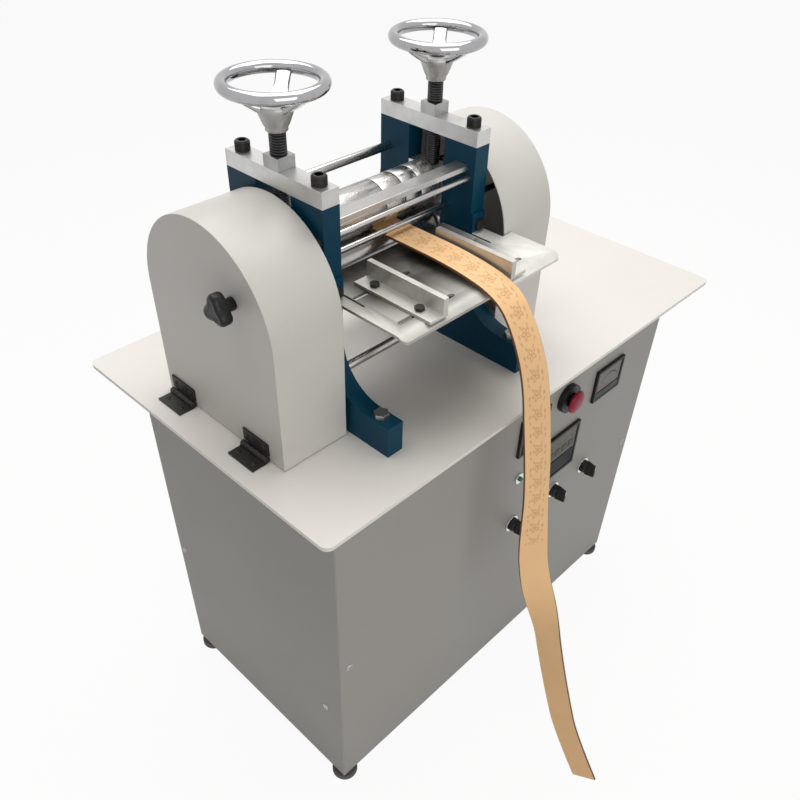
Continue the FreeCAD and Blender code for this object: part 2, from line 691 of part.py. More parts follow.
def upper_roller():
    left = "0 - gear_left + 3"
    right = "head_half + 46"
    keep(rod("upper_shaft", "x", (head("0 - (%s)" % left), "0", "top_axis_z"), "shaft_radius",
             "%s + %s" % (left, right)), "upper_shaft")
    plain = [ring("ring_near", "0 - half_gap + 3", "die_start - 1"),
             ring("ring_far", "die_start + die_width + ring_play", "spare_start - ring_play")]
    keep(group("plain_rings", plain), "plain_rings")
    dies = [ring("die_main", "die_start", "die_start + die_width"),
            ring("die_spare", "spare_start", "spare_start + spare_width")]
    keep(group("die_rings", dies), "die_rings")


def ring(name, start, stop):
    solid = rod(name + "_solid", "x", (head(start), "0", "top_axis_z"), "roller_radius",
                "%s - (%s)" % (stop, start))
    bore = rod(name + "_bore", "x", (head(start) + " - 1", "0", "top_axis_z"), "bore_radius",
               "%s - (%s) + 2" % (stop, start))
    return cut(name, solid, [bore])


def lower_roller():
    left = "0 - pulley_left + 4"
    face = "half_gap - 3"
    right = "head_half + 4"
    profile = [("0", "0"), ("0", "shaft_radius"), ("%s - (%s)" % (left, face), "shaft_radius"),
               ("%s - (%s)" % (left, face), "roller_radius"), ("%s + %s" % (left, face), "roller_radius"),
               ("%s + %s" % (left, face), "shaft_radius"), ("%s + %s" % (left, right), "shaft_radius"),
               ("%s + %s" % (left, right), "0")]
    keep(turned_piece("lower_roller", "x", (head("0 - (%s)" % left), "0", "low_axis_z"), profile),
         "lower_roller")


def involute_tooth(radius, module, backlash):
    """One tooth's outline from root to root, about the gear's X direction."""
    pressure = math.radians(20)
    base = radius * math.cos(pressure)
    tip, root = radius + module, radius - 1.25 * module
    half_angle = (math.pi * module / 2 - backlash) / 2 / radius
    roll = math.tan(pressure) - pressure
    flank = []
    steps = 5
    for step in range(steps + 1):
        distance = base + (tip - base) * step / steps
        turn = math.acos(min(base / distance, 1))
        flank.append((distance, half_angle + roll - (math.tan(turn) - turn)))
    upper = [Vector(math.cos(angle) * distance, math.sin(angle) * distance, 0) for distance, angle in flank]
    foot_angle = flank[0][1]
    foot = Vector(math.cos(foot_angle) * root, math.sin(foot_angle) * root, 0)
    mirror = [Vector(spot.x, -spot.y, 0) for spot in [foot] + upper]
    return mirror + list(reversed([foot] + upper))


def spur_gear(name, phase):
    """A gear about the X axis, its teeth made by formula."""
    teeth = int(number("gear_teeth"))
    radius = number("axis_distance") / 2
    module = 2 * radius / teeth
    tooth = involute_tooth(radius, module, number("gear_backlash"))
    core = Part.Face(Part.Wire(Part.makeCircle(radius - 1.25 * module + 0.02)))
    blank = core.extrude(Vector(0, 0, number("gear_width")))
    solid = Part.Face(Part.makePolygon(tooth + tooth[:1])).extrude(Vector(0, 0, number("gear_width")))
    copies = []
    for order in range(teeth):
        copy = solid.copy()
        copy.rotate(Vector(), Vector(0, 0, 1), 360 * (order + phase) / teeth)
        copies.append(copy)
    wheel = blank.fuse(copies).removeSplitter()
    bore = Part.makeCylinder(number("bore_radius"), number("gear_width") + 2, Vector(0, 0, -1))
    wheel = wheel.cut(bore)
    wheel.Placement = FreeCAD.Placement(Vector(), AXES["x"]).multiply(wheel.Placement)
    return feature(name, wheel)


def gears():
    """The pinion pair: at rest a tooth of the lower gear points up into a gap of the upper gear."""
    for name, axis_z, phase in (("upper_gear", "top_axis_z", 0.5), ("lower_gear", "low_axis_z", 0)):
        gear = spur_gear(name, phase)
        keep(place(gear, (head("gear_left"), "0", axis_z)), name)


def pulley_profile(inside, before, after):
    """A grooved wheel's profile, from a plain start to a plain end at the given inner radius."""
    middle = "pulley_width / 2"
    top = "(belt_width / 2 + belt_play)"
    floor = "(pulley_radius - belt_height - 1.5)"
    half_floor = "(%s - (belt_height + 1.5) * groove_slope)" % top
    return before + [
        ("0", "pulley_radius"), ("%s - %s" % (middle, top), "pulley_radius"),
        ("%s - %s" % (middle, half_floor), floor), ("%s + %s" % (middle, half_floor), floor),
        ("%s + %s" % (middle, top), "pulley_radius"), ("pulley_width", "pulley_radius"),
        ("pulley_width", "pulley_hub"), ("pulley_width + " + inside, "pulley_hub")] + after


def drive_wheels():
    hub = "pulley_gap - 1"
    profile = pulley_profile(hub, [("0", "bore_radius")], [("pulley_width + " + hub, "bore_radius")])
    spot = (head("pulley_left"), "0", "low_axis_z")
    keep(turned_piece("drive_pulley", "x", spot, profile), "drive_pulley")
    hub = "16"
    stub = "pulley_width + %s + 24" % hub
    profile = pulley_profile(hub, [("0 - 4", "0"), ("0 - 4", "shaft_radius"), ("0", "shaft_radius")],
                             [("pulley_width + " + hub, "shaft_radius"), (stub, "shaft_radius"), (stub, "0")])
    spot = (head("pulley_left"), "0", "motor_axis_z")
    keep(turned_piece("motor_pulley", "x", spot, profile), "motor_pulley")


def drive_belt():
    """A V-belt round the two wheels: half turns at the ends and straight runs between."""
    middle = number(head("belt_middle"))
    outer = number("pulley_radius")
    inner = number("pulley_radius - belt_height")
    half_top = number("belt_width / 2")
    half_low = number("belt_width / 2 - belt_height * groove_slope")
    low_z, high_z = number("motor_axis_z"), number("low_axis_z")
    pieces = []
    for side in (-1, 1):
        corners = [Vector(middle + across, side * reach, high_z) for across, reach in (
            (-half_top, outer), (half_top, outer), (half_low, inner), (-half_low, inner))]
        face = Part.Face(Part.makePolygon(corners + corners[:1]))
        pieces.append(face.extrude(Vector(0, 0, low_z - high_z)))
        if side > 0:
            pieces.append(face.revolve(Vector(middle, 0, high_z), Vector(1, 0, 0), 180))
            face.translate(Vector(0, 0, low_z - high_z))
            pieces.append(face.revolve(Vector(middle, 0, low_z), Vector(1, 0, 0), -180))
    keep(feature("drive_belt", pieces[0].fuse(pieces[1:]).removeSplitter()), "drive_belt")


def gear_motor():
    low = "motor_axis_z - box_side / 2"
    case = box("gear_case", (head("box_left"), "0 - box_side / 2", low),
               ("box_length", "box_side", "box_side"))
    start = "box_left + box_length"
    shell = rod("motor_shell", "x", (head(start), "0", "motor_axis_z"), "motor_radius", "motor_length")
    ribs = [box("motor_rib_%d_%d" % (order, side),
                (head(start) + " + 14", "%d * motor_radius - 8" % side,
                 "motor_axis_z - 22 + 20 * %d" % order),
                ("motor_length - 60", "16", "4")) for order in range(3) for side in (-1, 1)]
    terminal = box("terminal_box", (head(start) + " + 40", "0 - 35", "motor_axis_z + motor_radius - 6"),
                   ("80", "70", "40"))
    bore = rod("output_bore", "x", (head("box_left - 1"), "0", "motor_axis_z"), "bore_radius", "28")
    solid = fuse("motor_solid", [case, shell, terminal] + ribs)
    keep(cut("gear_motor", solid, [bore]), "gear_motor")
    base_z = "%s - 6" % low
    length = "box_length + motor_length + 20"
    plate = box("stand_plate", (head("box_left - 10"), "0 - 80", base_z), (length, "160", "6"))
    cradle = box("stand_cradle", (head(start) + " + 60", "0 - 40", low), ("60", "80", "12"))
    saddle = rod("stand_saddle", "x", (head(start) + " + 50", "0", "motor_axis_z"),
                 "motor_radius + 0.1", "80")
    legs = [box("stand_leg_%d_%d" % (end, side),
                (head("box_left - 10") + " + %d * (%s - 30)" % (end, length), "%d * 65 - 15" % side,
                 "floor_top"),
                ("30", "30", "%s - floor_top" % base_z)) for end in (0, 1) for side in (-1, 1)]
    stand = fuse("stand_solid", [plate, cradle] + legs)
    keep(cut("motor_stand", stand, [saddle]), "motor_stand")


def heater_contacts():
    start = "head_half + 12"
    sleeve = rod("contact_sleeve", "x", (head(start), "0", "top_axis_z"), "16", "30")
    rings = [rod("contact_ring_%d" % order, "x",
                 (head(start) + " + %d" % (4 + 14 * order), "0", "top_axis_z"),
                 "19", "8") for order in range(2)]
    bore = rod("contact_bore", "x", (head(start) + " - 1", "0", "top_axis_z"), "bore_radius", "32")
    keep(cut("slip_rings", fuse("contact_solid", [sleeve] + rings), [bore]), "slip_rings")
    plate = box("brush_plate", (head("head_half"), "18", "top_axis_z - 15"), ("5", "13", "30"))
    arm = box("brush_arm", (head("head_half"), "25", "top_axis_z - 8"), ("46", "6", "16"))
    brushes = [box("brush_%d" % order, (head(start) + " + %d" % (5 + 14 * order), "19.4", "top_axis_z - 3"),
                   ("6", "6", "6")) for order in range(2)]
    keep(fuse("brush_holder", [plate, arm] + brushes), "brush_holder")


# Guide plate, guides and the strap

def guide_plate():
    item = body("guide_plate_body")
    level = "guide_plate_z - guide_plate_thick"
    back = "0 - frame_depth / 2 - guide_plate_thick"
    drawing = sketch(item, "XY_Plane", "guide_plate_outline", level)
    tongue = "half_gap - 2"
    tab_in, tab_out = "half_gap + 1", "head_half - 1"
    right_step = [(tab_out, "wing_back"), (tab_out, back + " + guide_plate_thick"),
                  (tab_in, back + " + guide_plate_thick"), (tab_in, "wing_back"), (tongue, "wing_back"),
                  (tongue, "tongue_back")]
    left_step = [("0 - (%s)" % x, y) for x, y in reversed(right_step)]
    spots = [("wing_left", "fold_line"), ("wing_right", "fold_line"), ("wing_right", "wing_back")]
    outline(drawing, [(head(x), y) for x, y in spots + right_step + left_step[:-1]
                      + [("wing_left", back + " + guide_plate_thick")]])
    pad(item, drawing, "guide_plate_flat", "guide_plate_thick")
    slots = sketch(item, "XY_Plane", "guide_plate_slots", level)
    for start, stop in (("left_slot_start", "left_slot_end"), ("right_slot_start", "right_slot_end")):
        for y in ("screw_front", "screw_back"):
            low, high = head(start), head(stop)
            outline(slots, [(high, y + " - slot_half"), (high, y + " + slot_half", "slot_half", 1),
                            (low, y + " + slot_half"), (low, y + " - slot_half", "slot_half", 1)])
    pocket(item, slots, "guide_plate_slotting")
    lip = body("guide_plate_lip")
    side_view = sketch(lip, "YZ_Plane", "lip_profile", head("wing_left"))
    outline(side_view, [
        ("fold_line", "guide_plate_z - guide_plate_thick"), ("fold_line", "guide_plate_z"),
        ("fold_line - lip_reach", "guide_plate_z - lip_drop"),
        ("fold_line - lip_reach", "guide_plate_z - lip_drop - guide_plate_thick")])
    pad(lip, side_view, "lip_bend", "wing_right - wing_left")
    plan = body("guide_plate_lip_plan")
    low, high, front = head("wing_left"), head("wing_right"), "fold_line - lip_reach"
    rounded = sketch(plan, "XY_Plane", "lip_plan", level + " - lip_drop - 1")
    outline(rounded, [
        (low, "fold_line + 1"), (low, front + " + lip_corner"),
        (low + " + lip_corner", front, "lip_corner", 1),
        (high + " - lip_corner", front), (high, front + " + lip_corner", "lip_corner", 1),
        (high, "fold_line + 1")])
    pad(plan, rounded, "lip_plan_block", "lip_drop + guide_plate_thick + 2")
    bend = DOC.addObject("Part::Common", "guide_plate_bend")
    bend.Base = lip
    bend.Tool = plan
    tabs = []
    for side, way in SIDES:
        low = head("half_gap + 1") if way > 0 else head("0 - head_half + 1")
        tab = box(side + "_tab_solid", (low, back, level), ("frame_thick - 2", "guide_plate_thick", "30"))
        middle = head("%d * (half_gap + frame_thick / 2)" % way)
        hole = rod(side + "_tab_hole", "y", (middle, back + " - 1", above("190")), "4.2",
                   "guide_plate_thick + 2")
        tabs.append(cut(side + "_tab", tab, [hole]))
    keep(fuse("guide_plate", [item, bend] + tabs), "guide_plate")


def guide(side, way):
    """An angle that leads one edge of the strap, held by two screws through its foot."""
    face = side + "_guide_face"
    wall_low = head(face) if way > 0 else head(face + " - guide_wall")
    foot_low = head(face) if way > 0 else head(face + " - guide_wall - guide_foot")
    length = "guide_back - guide_front"
    wall = box(side + "_guide_wall", (wall_low, "guide_front", "guide_plate_z"),
               ("guide_wall", length, "guide_height"))
    foot = box(side + "_guide_foot", (foot_low, "guide_front", "guide_plate_z"),
               ("guide_wall + guide_foot", length, "guide_foot_thick"))
    middle = head("%s + %d * (guide_wall + guide_foot / 2)" % (face, way))
    holes, screws = [], []
    for order, y in enumerate(("screw_front", "screw_back")):
        tag = "%s_guide_%d" % (side, order)
        holes.append(rod(tag + "_hole", "z", (middle, y, "guide_plate_z - 1"), "3.2", "guide_foot_thick + 2"))
        seat = "guide_plate_z + guide_foot_thick"
        under = "guide_plate_z - guide_plate_thick - 0.2"
        screws.append(fuse(tag + "_screw", [
            hexagon(tag + "_head", "z", (middle, y, seat), "6.5", "4.5"),
            rod(tag + "_shank", "z", (middle, y, under + " - 5"), "3", "%s - (%s) + 5" % (seat, under)),
            hexagon(tag + "_nut", "z", (middle, y, under + " - 5"), "6", "5")]))
    keep(cut(side + "_guide", fuse(side + "_guide_angle", [wall, foot]), holes), side + "_guide")
    keep(group(side + "_guide_screws", screws), side + "_guide_screws")


# The strap's middle line: distance from the rollers and height above the table

STRAP_ROUTE = [(45, 195), (-60, 195), (-150, 194), (-222, 182), (-253, 146), (-281, 88), (-296, 15),
               (-311, -70), (-320, -160), (-333, -250), (-373, -335), (-398, -415), (-427, -495),
               (-455, -565), (-511, -646)]
ARC_SHARE = 0.45


def strap():
    x = number(head("strap_centre"))
    table_z = number("table_top")
    spots = [Vector(x, y, table_z + z) for y, z in STRAP_ROUTE]
    edges = []
    last = spots[0]
    for before, corner, after in zip(spots, spots[1:], spots[2:]):
        arrive, leave = (corner - before), (after - corner)
        half_turn = arrive.getAngle(leave) / 2
        setback = ARC_SHARE * min(arrive.Length, leave.Length)
        radius = setback / math.tan(half_turn)
        print("strap bend radius %.0f mm" % radius)
        start = corner - arrive.normalize() * setback
        stop = corner + leave.normalize() * setback
        inward = (start + stop) / 2 - corner
        middle = corner + inward.normalize() * (radius / math.cos(half_turn) - radius)
        edges.append(Part.LineSegment(last, start).toShape())
        edges.append(Part.Arc(start, middle, stop).toShape())
        last = stop
    edges.append(Part.LineSegment(last, spots[-1]).toShape())
    path = Part.Wire(edges)
    half_width, half_thick = number("strap_width") / 2, number("strap_thick") / 2
    corners = [spots[0] + Vector(a * half_width, 0, b * half_thick)
               for a, b in ((-1, -1), (1, -1), (1, 1), (-1, 1))]
    band = path.makePipeShell([Part.makePolygon(corners + corners[:1])], True, False)
    print("strap length %.0f mm, volume ratio %.4f" % (
        path.Length, band.Volume / (path.Length * number("strap_width") * number("strap_thick"))))
    keep(feature("leather_strap", band), "leather_strap")


# Covers: arched shells on hinges, and the knobs that hold them shut

def cover_outline(drawing, wall):
    half = "cover_width / 2 - (%s)" % wall
    spring = above("1 + cover_height - cover_width / 2")
    foot = above("1") if wall == "0" else above("0")
    outline(drawing, [("0 - (%s)" % half, foot), (half, foot), (half, spring),
                      ("0 - (%s)" % half, spring, half, 1)])


def cover(side, way):
    name = side + "_cover"
    item = body(name + "_shell")
    start = head("cover_inside") if way > 0 else head("0 - cover_face")
    outer = sketch(item, "YZ_Plane", name + "_arch", start)
    cover_outline(outer, "0")
    pad(item, outer, name + "_block", "cover_depth")
    hollow_start = start + " - 1" if way > 0 else start + " + cover_sheet"
    inside = body(name + "_inside")
    inner = sketch(inside, "YZ_Plane", name + "_hollow", hollow_start)
    cover_outline(inner, "cover_sheet")
    pad(inside, inner, name + "_space", "cover_depth - cover_sheet + 1")
    hole_start = head("cover_face - 10") if way > 0 else head("0 - cover_face - 10")
    hole = rod(name + "_knob_hole", "x", (hole_start, "knob_place", above("knob_height")), "4.6", "20")
    keep(cut(name, item, [fuse(name + "_room", [inside, hole])]), name)


def cover_hinges():
    """Each hinge: a leaf on the table with two knuckles and the pin, a leaf on the cover with one."""
    bases = []
    gap = "0.3"
    third = "(hinge_length / 3)"
    for side, way in SIDES:
        leaves = []
        axis_x = head("%d * hinge_out" % way)
        for end in ("rear", "front"):
            tag = "%s_%s_hinge" % (side, end)
            start = "hinge_%s - hinge_length / 2" % end
            base_low = axis_x if way > 0 else axis_x + " - leaf_reach"
            solids = [box(tag + "_base", (base_low, start, "table_top"),
                          ("leaf_reach", "hinge_length", "leaf_thick"))]
            for order in (0, 2):
                solids.append(rod("%s_knuckle_%d" % (tag, order), "y",
                                  (axis_x, "%s + %d * %s" % (start, order, third), "hinge_up"),
                                  "knuckle_radius", third))
                low_x = axis_x if way > 0 else axis_x + " - knuckle_radius"
                solids.append(box("%s_web_%d" % (tag, order),
                                  (low_x, "%s + %d * %s" % (start, order, third), "table_top"),
                                  ("knuckle_radius", third, "knuckle_radius")))
            solids.append(rod(tag + "_pin", "y", (axis_x, start, "hinge_up"), "pin_radius", "hinge_length"))
            relief = rod(tag + "_relief", "y", (axis_x, "%s + %s" % (start, third), "hinge_up"),
                         "knuckle_radius + 0.3", third)
            clear = cut(tag + "_clear", fuse(tag + "_plain", solids[:-1]), [relief])
            bases.append(fuse(tag + "_set", [clear, solids[-1]]))
            face = "cover_face" if way > 0 else "0 - cover_face - leaf_thick"
            knuckle = rod(tag + "_moving_knuckle", "y",
                          (axis_x, "%s + %s + %s" % (start, third, gap), "hinge_up"),
                          "knuckle_radius", "%s - 2 * %s" % (third, gap))
            tab = box(tag + "_tab", (head(face), "%s + %s + %s" % (start, third, gap), "hinge_up"),
                      ("leaf_thick", "%s - 2 * %s" % (third, gap), "6"))
            leaf = box(tag + "_leaf", (head(face), start, "hinge_up + 5.5"),
                       ("leaf_thick", "hinge_length", "leaf_reach - 6"))
            bore = rod(tag + "_bore", "y", (axis_x, start, "hinge_up"), "pin_radius + running_play",
                       "hinge_length")
            leaves.append(cut(tag + "_moving", fuse(tag + "_moving_solid", [knuckle, tab, leaf]), [bore]))
        keep(group(side + "_cover_leaves", leaves), side + "_cover_leaves")
    keep(group("cover_hinge_bases", bases), "cover_hinge_bases")


def cover_knob(side, way):
    """A three-lobed knob with the long screw that reaches into the side frame."""
    name = side + "_cover_knob"
    z = above("knob_height")

    def along(distance, length):
        start = "cover_face + %s" % distance
        return head(start) if way > 0 else head("0 - (%s) - (%s)" % (start, length))

    solids = [rod(name + "_stem", "x", (along("0.3", "12"), "knob_place", z), "8", "12"),
              rod(name + "_middle", "x", (along("12.3", "knob_thick"), "knob_place", z), "knob_spread",
                  "knob_thick")]
    for order in range(3):
        angle = math.radians(90 + 120 * order)
        y = "knob_place + knob_spread * %.4f" % math.cos(angle)
        solids.append(rod("%s_lobe_%d" % (name, order), "x",
                          (along("12.3", "knob_thick"), y, z + " + knob_spread * %.4f" % math.sin(angle)),
                          "knob_lobe", "knob_thick"))
    screw = "cover_depth + cover_gap + 1.4"
    solids.append(rod(name + "_screw", "x", (along("0.4 - (%s)" % screw, screw), "knob_place", z), "4",
                      screw))
    keep(fuse(name, solids), name)


# Controls on the front panel

def control_bezels():
    """A ring on the panel, a barrel through it and a contact block behind it for every control."""
    items = []
    places = [(name, across, SELECTOR_DROP) for name, across in SELECTORS.items()]
    places.append(("stop", STOP_ACROSS, STOP_DROP))
    places.append(("start", START_ACROSS, START_DROP))
    for name, across, drop in places:
        small = name == "start"
        ring_radius = {"start": "10", "stop": "mushroom_radius + 5"}.get(name, "panel_bezel")
        ring_deep = 10 if name == "stop" else 4
        barrel = "7.8" if small else "10.8"
        z = below(drop)
        solid = fuse(name + "_bezel_solid", [
            rod(name + "_ring", "y", (along_panel(across), "panel_face - %d" % ring_deep, z),
                ring_radius, str(ring_deep)),
            rod(name + "_barrel", "y", (along_panel(across), "panel_face", z), barrel, "14"),
            box(name + "_contacts", (along_panel(across - 14), "panel_face + 14", below(drop + 20)),
                (28, 36, 40))])
        bores = [rod(name + "_bezel_bore", "y", (along_panel(across), "panel_face - %d" % (ring_deep + 1), z),
                     "4.5" if small else "7.5", str(ring_deep + 13))]
        if name == "stop":
            bores.append(rod("stop_bezel_well", "y", (along_panel(across), "panel_face - 11", z),
                             "12.5", "6"))
        items.append(cut(name + "_bezel", solid, bores))
    keep(group("control_bezels", items), "control_bezels")


def selector(name, across):
    """A round knob with a raised lever across its face."""
    z = below(SELECTOR_DROP)
    disc = rod(name + "_disc", "y", (along_panel(across), "panel_face - 16", z), "13.5", "11.5")
    stem = rod(name + "_stem", "y", (along_panel(across), "panel_face - 5", z), "7", "14")
    lever = box(name + "_lever", (along_panel(across - 4), "panel_face - 30", below(SELECTOR_DROP + 15)),
                (8, 15, 30))
    keep(fuse(name, [disc, stem, lever]), name)


def stop_button():
    z = below(STOP_DROP)
    stem = rod("stop_stem", "y", (along_panel(STOP_ACROSS), "panel_face - 16", z), "7", "20")
    collar = rod("stop_collar", "y", (along_panel(STOP_ACROSS), "panel_face - 18", z), "11", "6")
    dome = DOC.addObject("Part::Sphere", "stop_dome")
    dome.setExpression("Radius", formula("mushroom_radius * 1.35"))
    place(dome, (along_panel(STOP_ACROSS), "panel_face - 17 - 9 + mushroom_radius * 1.35", z))
    disc = rod("stop_disc", "y", (along_panel(STOP_ACROSS), "panel_face - 27", z), "mushroom_radius", "10")
    head_shape = DOC.addObject("Part::Common", "stop_head")
    head_shape.Base = dome
    head_shape.Tool = disc
    keep(fuse("stop_button", [stem, collar, head_shape]), "stop_button")
    spot = (along_panel(START_ACROSS), "panel_face - 8", below(START_DROP))
    keep(rod("start_button", "y", spot, "4", "14"), "start_button")


def instruments():
    keep(instrument("panel_meter", METER), "panel_meter")
    keep(group("panel_controllers", [instrument("temperature_controller", CONTROLLER),
                                     instrument("piece_counter", COUNTER)]), "panel_controllers")


def build():
    cabinet_feet_and_posts()
    cabinet_rails_and_floor()
    cabinet_panels()
    cable_gland()
    table()
    for side, way in SIDES:
        side_frame(side, way)
        handwheel(side, way)
        lift_screw(side, way)
        cover(side, way)
        cover_knob(side, way)
        guide(side, way)
    top_plates_and_nuts()
    fasteners()
    cross_rods()
    bearing_blocks()
    return_springs()
    upper_roller()
    lower_roller()
    gears()
    drive_wheels()
    drive_belt()
    gear_motor()
    heater_contacts()
    guide_plate()
    strap()
    cover_hinges()
    control_bezels()
    for name, across in SELECTORS.items():
        selector(name, across)
    stop_button()
    instruments()
    DOC.recompute()


def check_and_write():
    for item in DOC.Objects:
        if "Invalid" in item.State or "Error" in item.State:
            raise RuntimeError("%s failed: %s" % (item.Name, item.State))
    for item in PARTS:
        if item.Shape.isNull() or not item.Shape.isValid() or not item.Shape.Solids:
            raise RuntimeError("%s has no valid shape" % item.Label)
    os.makedirs("parts", exist_ok=True)
    for item in PARTS:
        item.Shape.exportStep(os.path.join("parts", item.Label + ".step"))
    print("%d nodes, %d solids" % (len(PARTS), sum(len(item.Shape.Solids) for item in PARTS)))


build()
check_and_write()
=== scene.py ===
"""A leather belt embossing machine on its cabinet, dressed for rendering."""

import json
import logging
import math
from dataclasses import dataclass, field
from enum import Enum
from typing import Any, Iterable, Sequence

import bmesh
import bpy
from mathutils import Matrix, Vector

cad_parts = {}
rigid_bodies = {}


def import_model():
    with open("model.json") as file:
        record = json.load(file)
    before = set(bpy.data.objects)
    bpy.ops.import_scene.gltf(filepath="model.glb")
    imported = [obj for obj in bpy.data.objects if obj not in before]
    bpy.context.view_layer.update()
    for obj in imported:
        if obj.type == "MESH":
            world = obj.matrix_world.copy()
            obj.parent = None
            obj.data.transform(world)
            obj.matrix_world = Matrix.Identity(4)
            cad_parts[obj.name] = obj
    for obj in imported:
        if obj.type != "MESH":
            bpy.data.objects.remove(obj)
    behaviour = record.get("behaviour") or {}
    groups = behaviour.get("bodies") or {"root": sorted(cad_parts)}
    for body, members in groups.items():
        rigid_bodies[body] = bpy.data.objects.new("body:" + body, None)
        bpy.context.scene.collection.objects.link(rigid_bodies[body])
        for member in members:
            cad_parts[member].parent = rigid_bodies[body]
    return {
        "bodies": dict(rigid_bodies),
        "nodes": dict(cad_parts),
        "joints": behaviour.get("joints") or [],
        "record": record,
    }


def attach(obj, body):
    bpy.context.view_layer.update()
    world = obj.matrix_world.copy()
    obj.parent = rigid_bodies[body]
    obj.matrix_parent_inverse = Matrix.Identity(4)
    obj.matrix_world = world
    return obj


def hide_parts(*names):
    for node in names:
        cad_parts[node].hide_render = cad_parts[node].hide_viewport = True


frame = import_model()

LOG = logging.getLogger("embossing_machine")
TABLE_Z = 0.684
HEAD_X = -0.134
FRAME_X = 131.0
PANEL_X = 0.390
PANEL_Y = -0.210
STRAP_ROUTE = (
    (45, 195), (-60, 195), (-150, 194), (-222, 182), (-253, 146), (-281, 88), (-296, 15), (-311, -70),
    (-320, -160), (-333, -250), (-373, -335), (-398, -415), (-427, -495), (-455, -565), (-511, -646),
)


class Side(Enum):
    """The two ends of the head."""

    LEFT = -1
    RIGHT = 1

    @property
    def word(self) -> str:
        """The side's name as the pieces use it."""
        return self.name.lower()


class Axis(Enum):
    """Directions that pieces are turned about or ground along."""

    X = Vector((1, 0, 0))
    Y = Vector((0, 1, 0))
    Z = Vector((0, 0, 1))


def from_head(x: float, y: float, z: float) -> Vector:
    """A place given in millimetres from the roller centre and the table top.

    Args:
        x: distance to the right of the roller centre.
        y: distance behind the side frames' middle.
        z: height above the table top.

    Returns:
        The place in metres in the machine's frame.
    """
    return Vector((HEAD_X + x / 1000, y / 1000, TABLE_Z + z / 1000))


def shade(colour: Sequence[float], factor: float, lift: float = 0.0) -> tuple[float, ...]:
    """A darker or lighter colour: each part times a factor, plus a lift."""
    return tuple(min(part * factor + lift, 1) for part in colour)


class Value:
    """A shader socket that takes part in Python arithmetic."""

    def __init__(self, graph: "Graph", socket: bpy.types.NodeSocket) -> None:
        """Hold a socket of a graph."""
        self.graph = graph
        self.socket = socket

    def __add__(self, other: "Value | float") -> "Value":
        """Sum of two values."""
        return self.graph.maths("ADD", self, other)

    __radd__ = __add__

    def __sub__(self, other: "Value | float") -> "Value":
        """Difference of two values."""
        return self.graph.maths("SUBTRACT", self, other)

    def __rsub__(self, other: "Value | float") -> "Value":
        """Difference with the value second."""
        return self.graph.maths("SUBTRACT", other, self)

    def __mul__(self, other: "Value | float") -> "Value":
        """Product of two values."""
        return self.graph.maths("MULTIPLY", self, other)

    __rmul__ = __mul__

    def __truediv__(self, other: "Value | float") -> "Value":
        """Quotient of two values."""
        return self.graph.maths("DIVIDE", self, other)

    def __abs__(self) -> "Value":
        """Size without the sign."""
        return self.graph.maths("ABSOLUTE", self)

    def sine(self) -> "Value":
        """Sine of an angle in radians."""
        return self.graph.maths("SINE", self)

    def fraction(self) -> "Value":
        """What is left over a whole number."""
        return self.graph.maths("FRACT", self)

    def below(self, limit: "Value | float", blur: float) -> "Value":
        """A soft step that is 1 under a limit.

        Args:
            limit: where the step is half way.
            blur: the width over which it falls.

        Returns:
            A value between 0 and 1.
        """
        return self.graph.maths("ADD", (limit - self) / blur, 0.5, clamp=True)


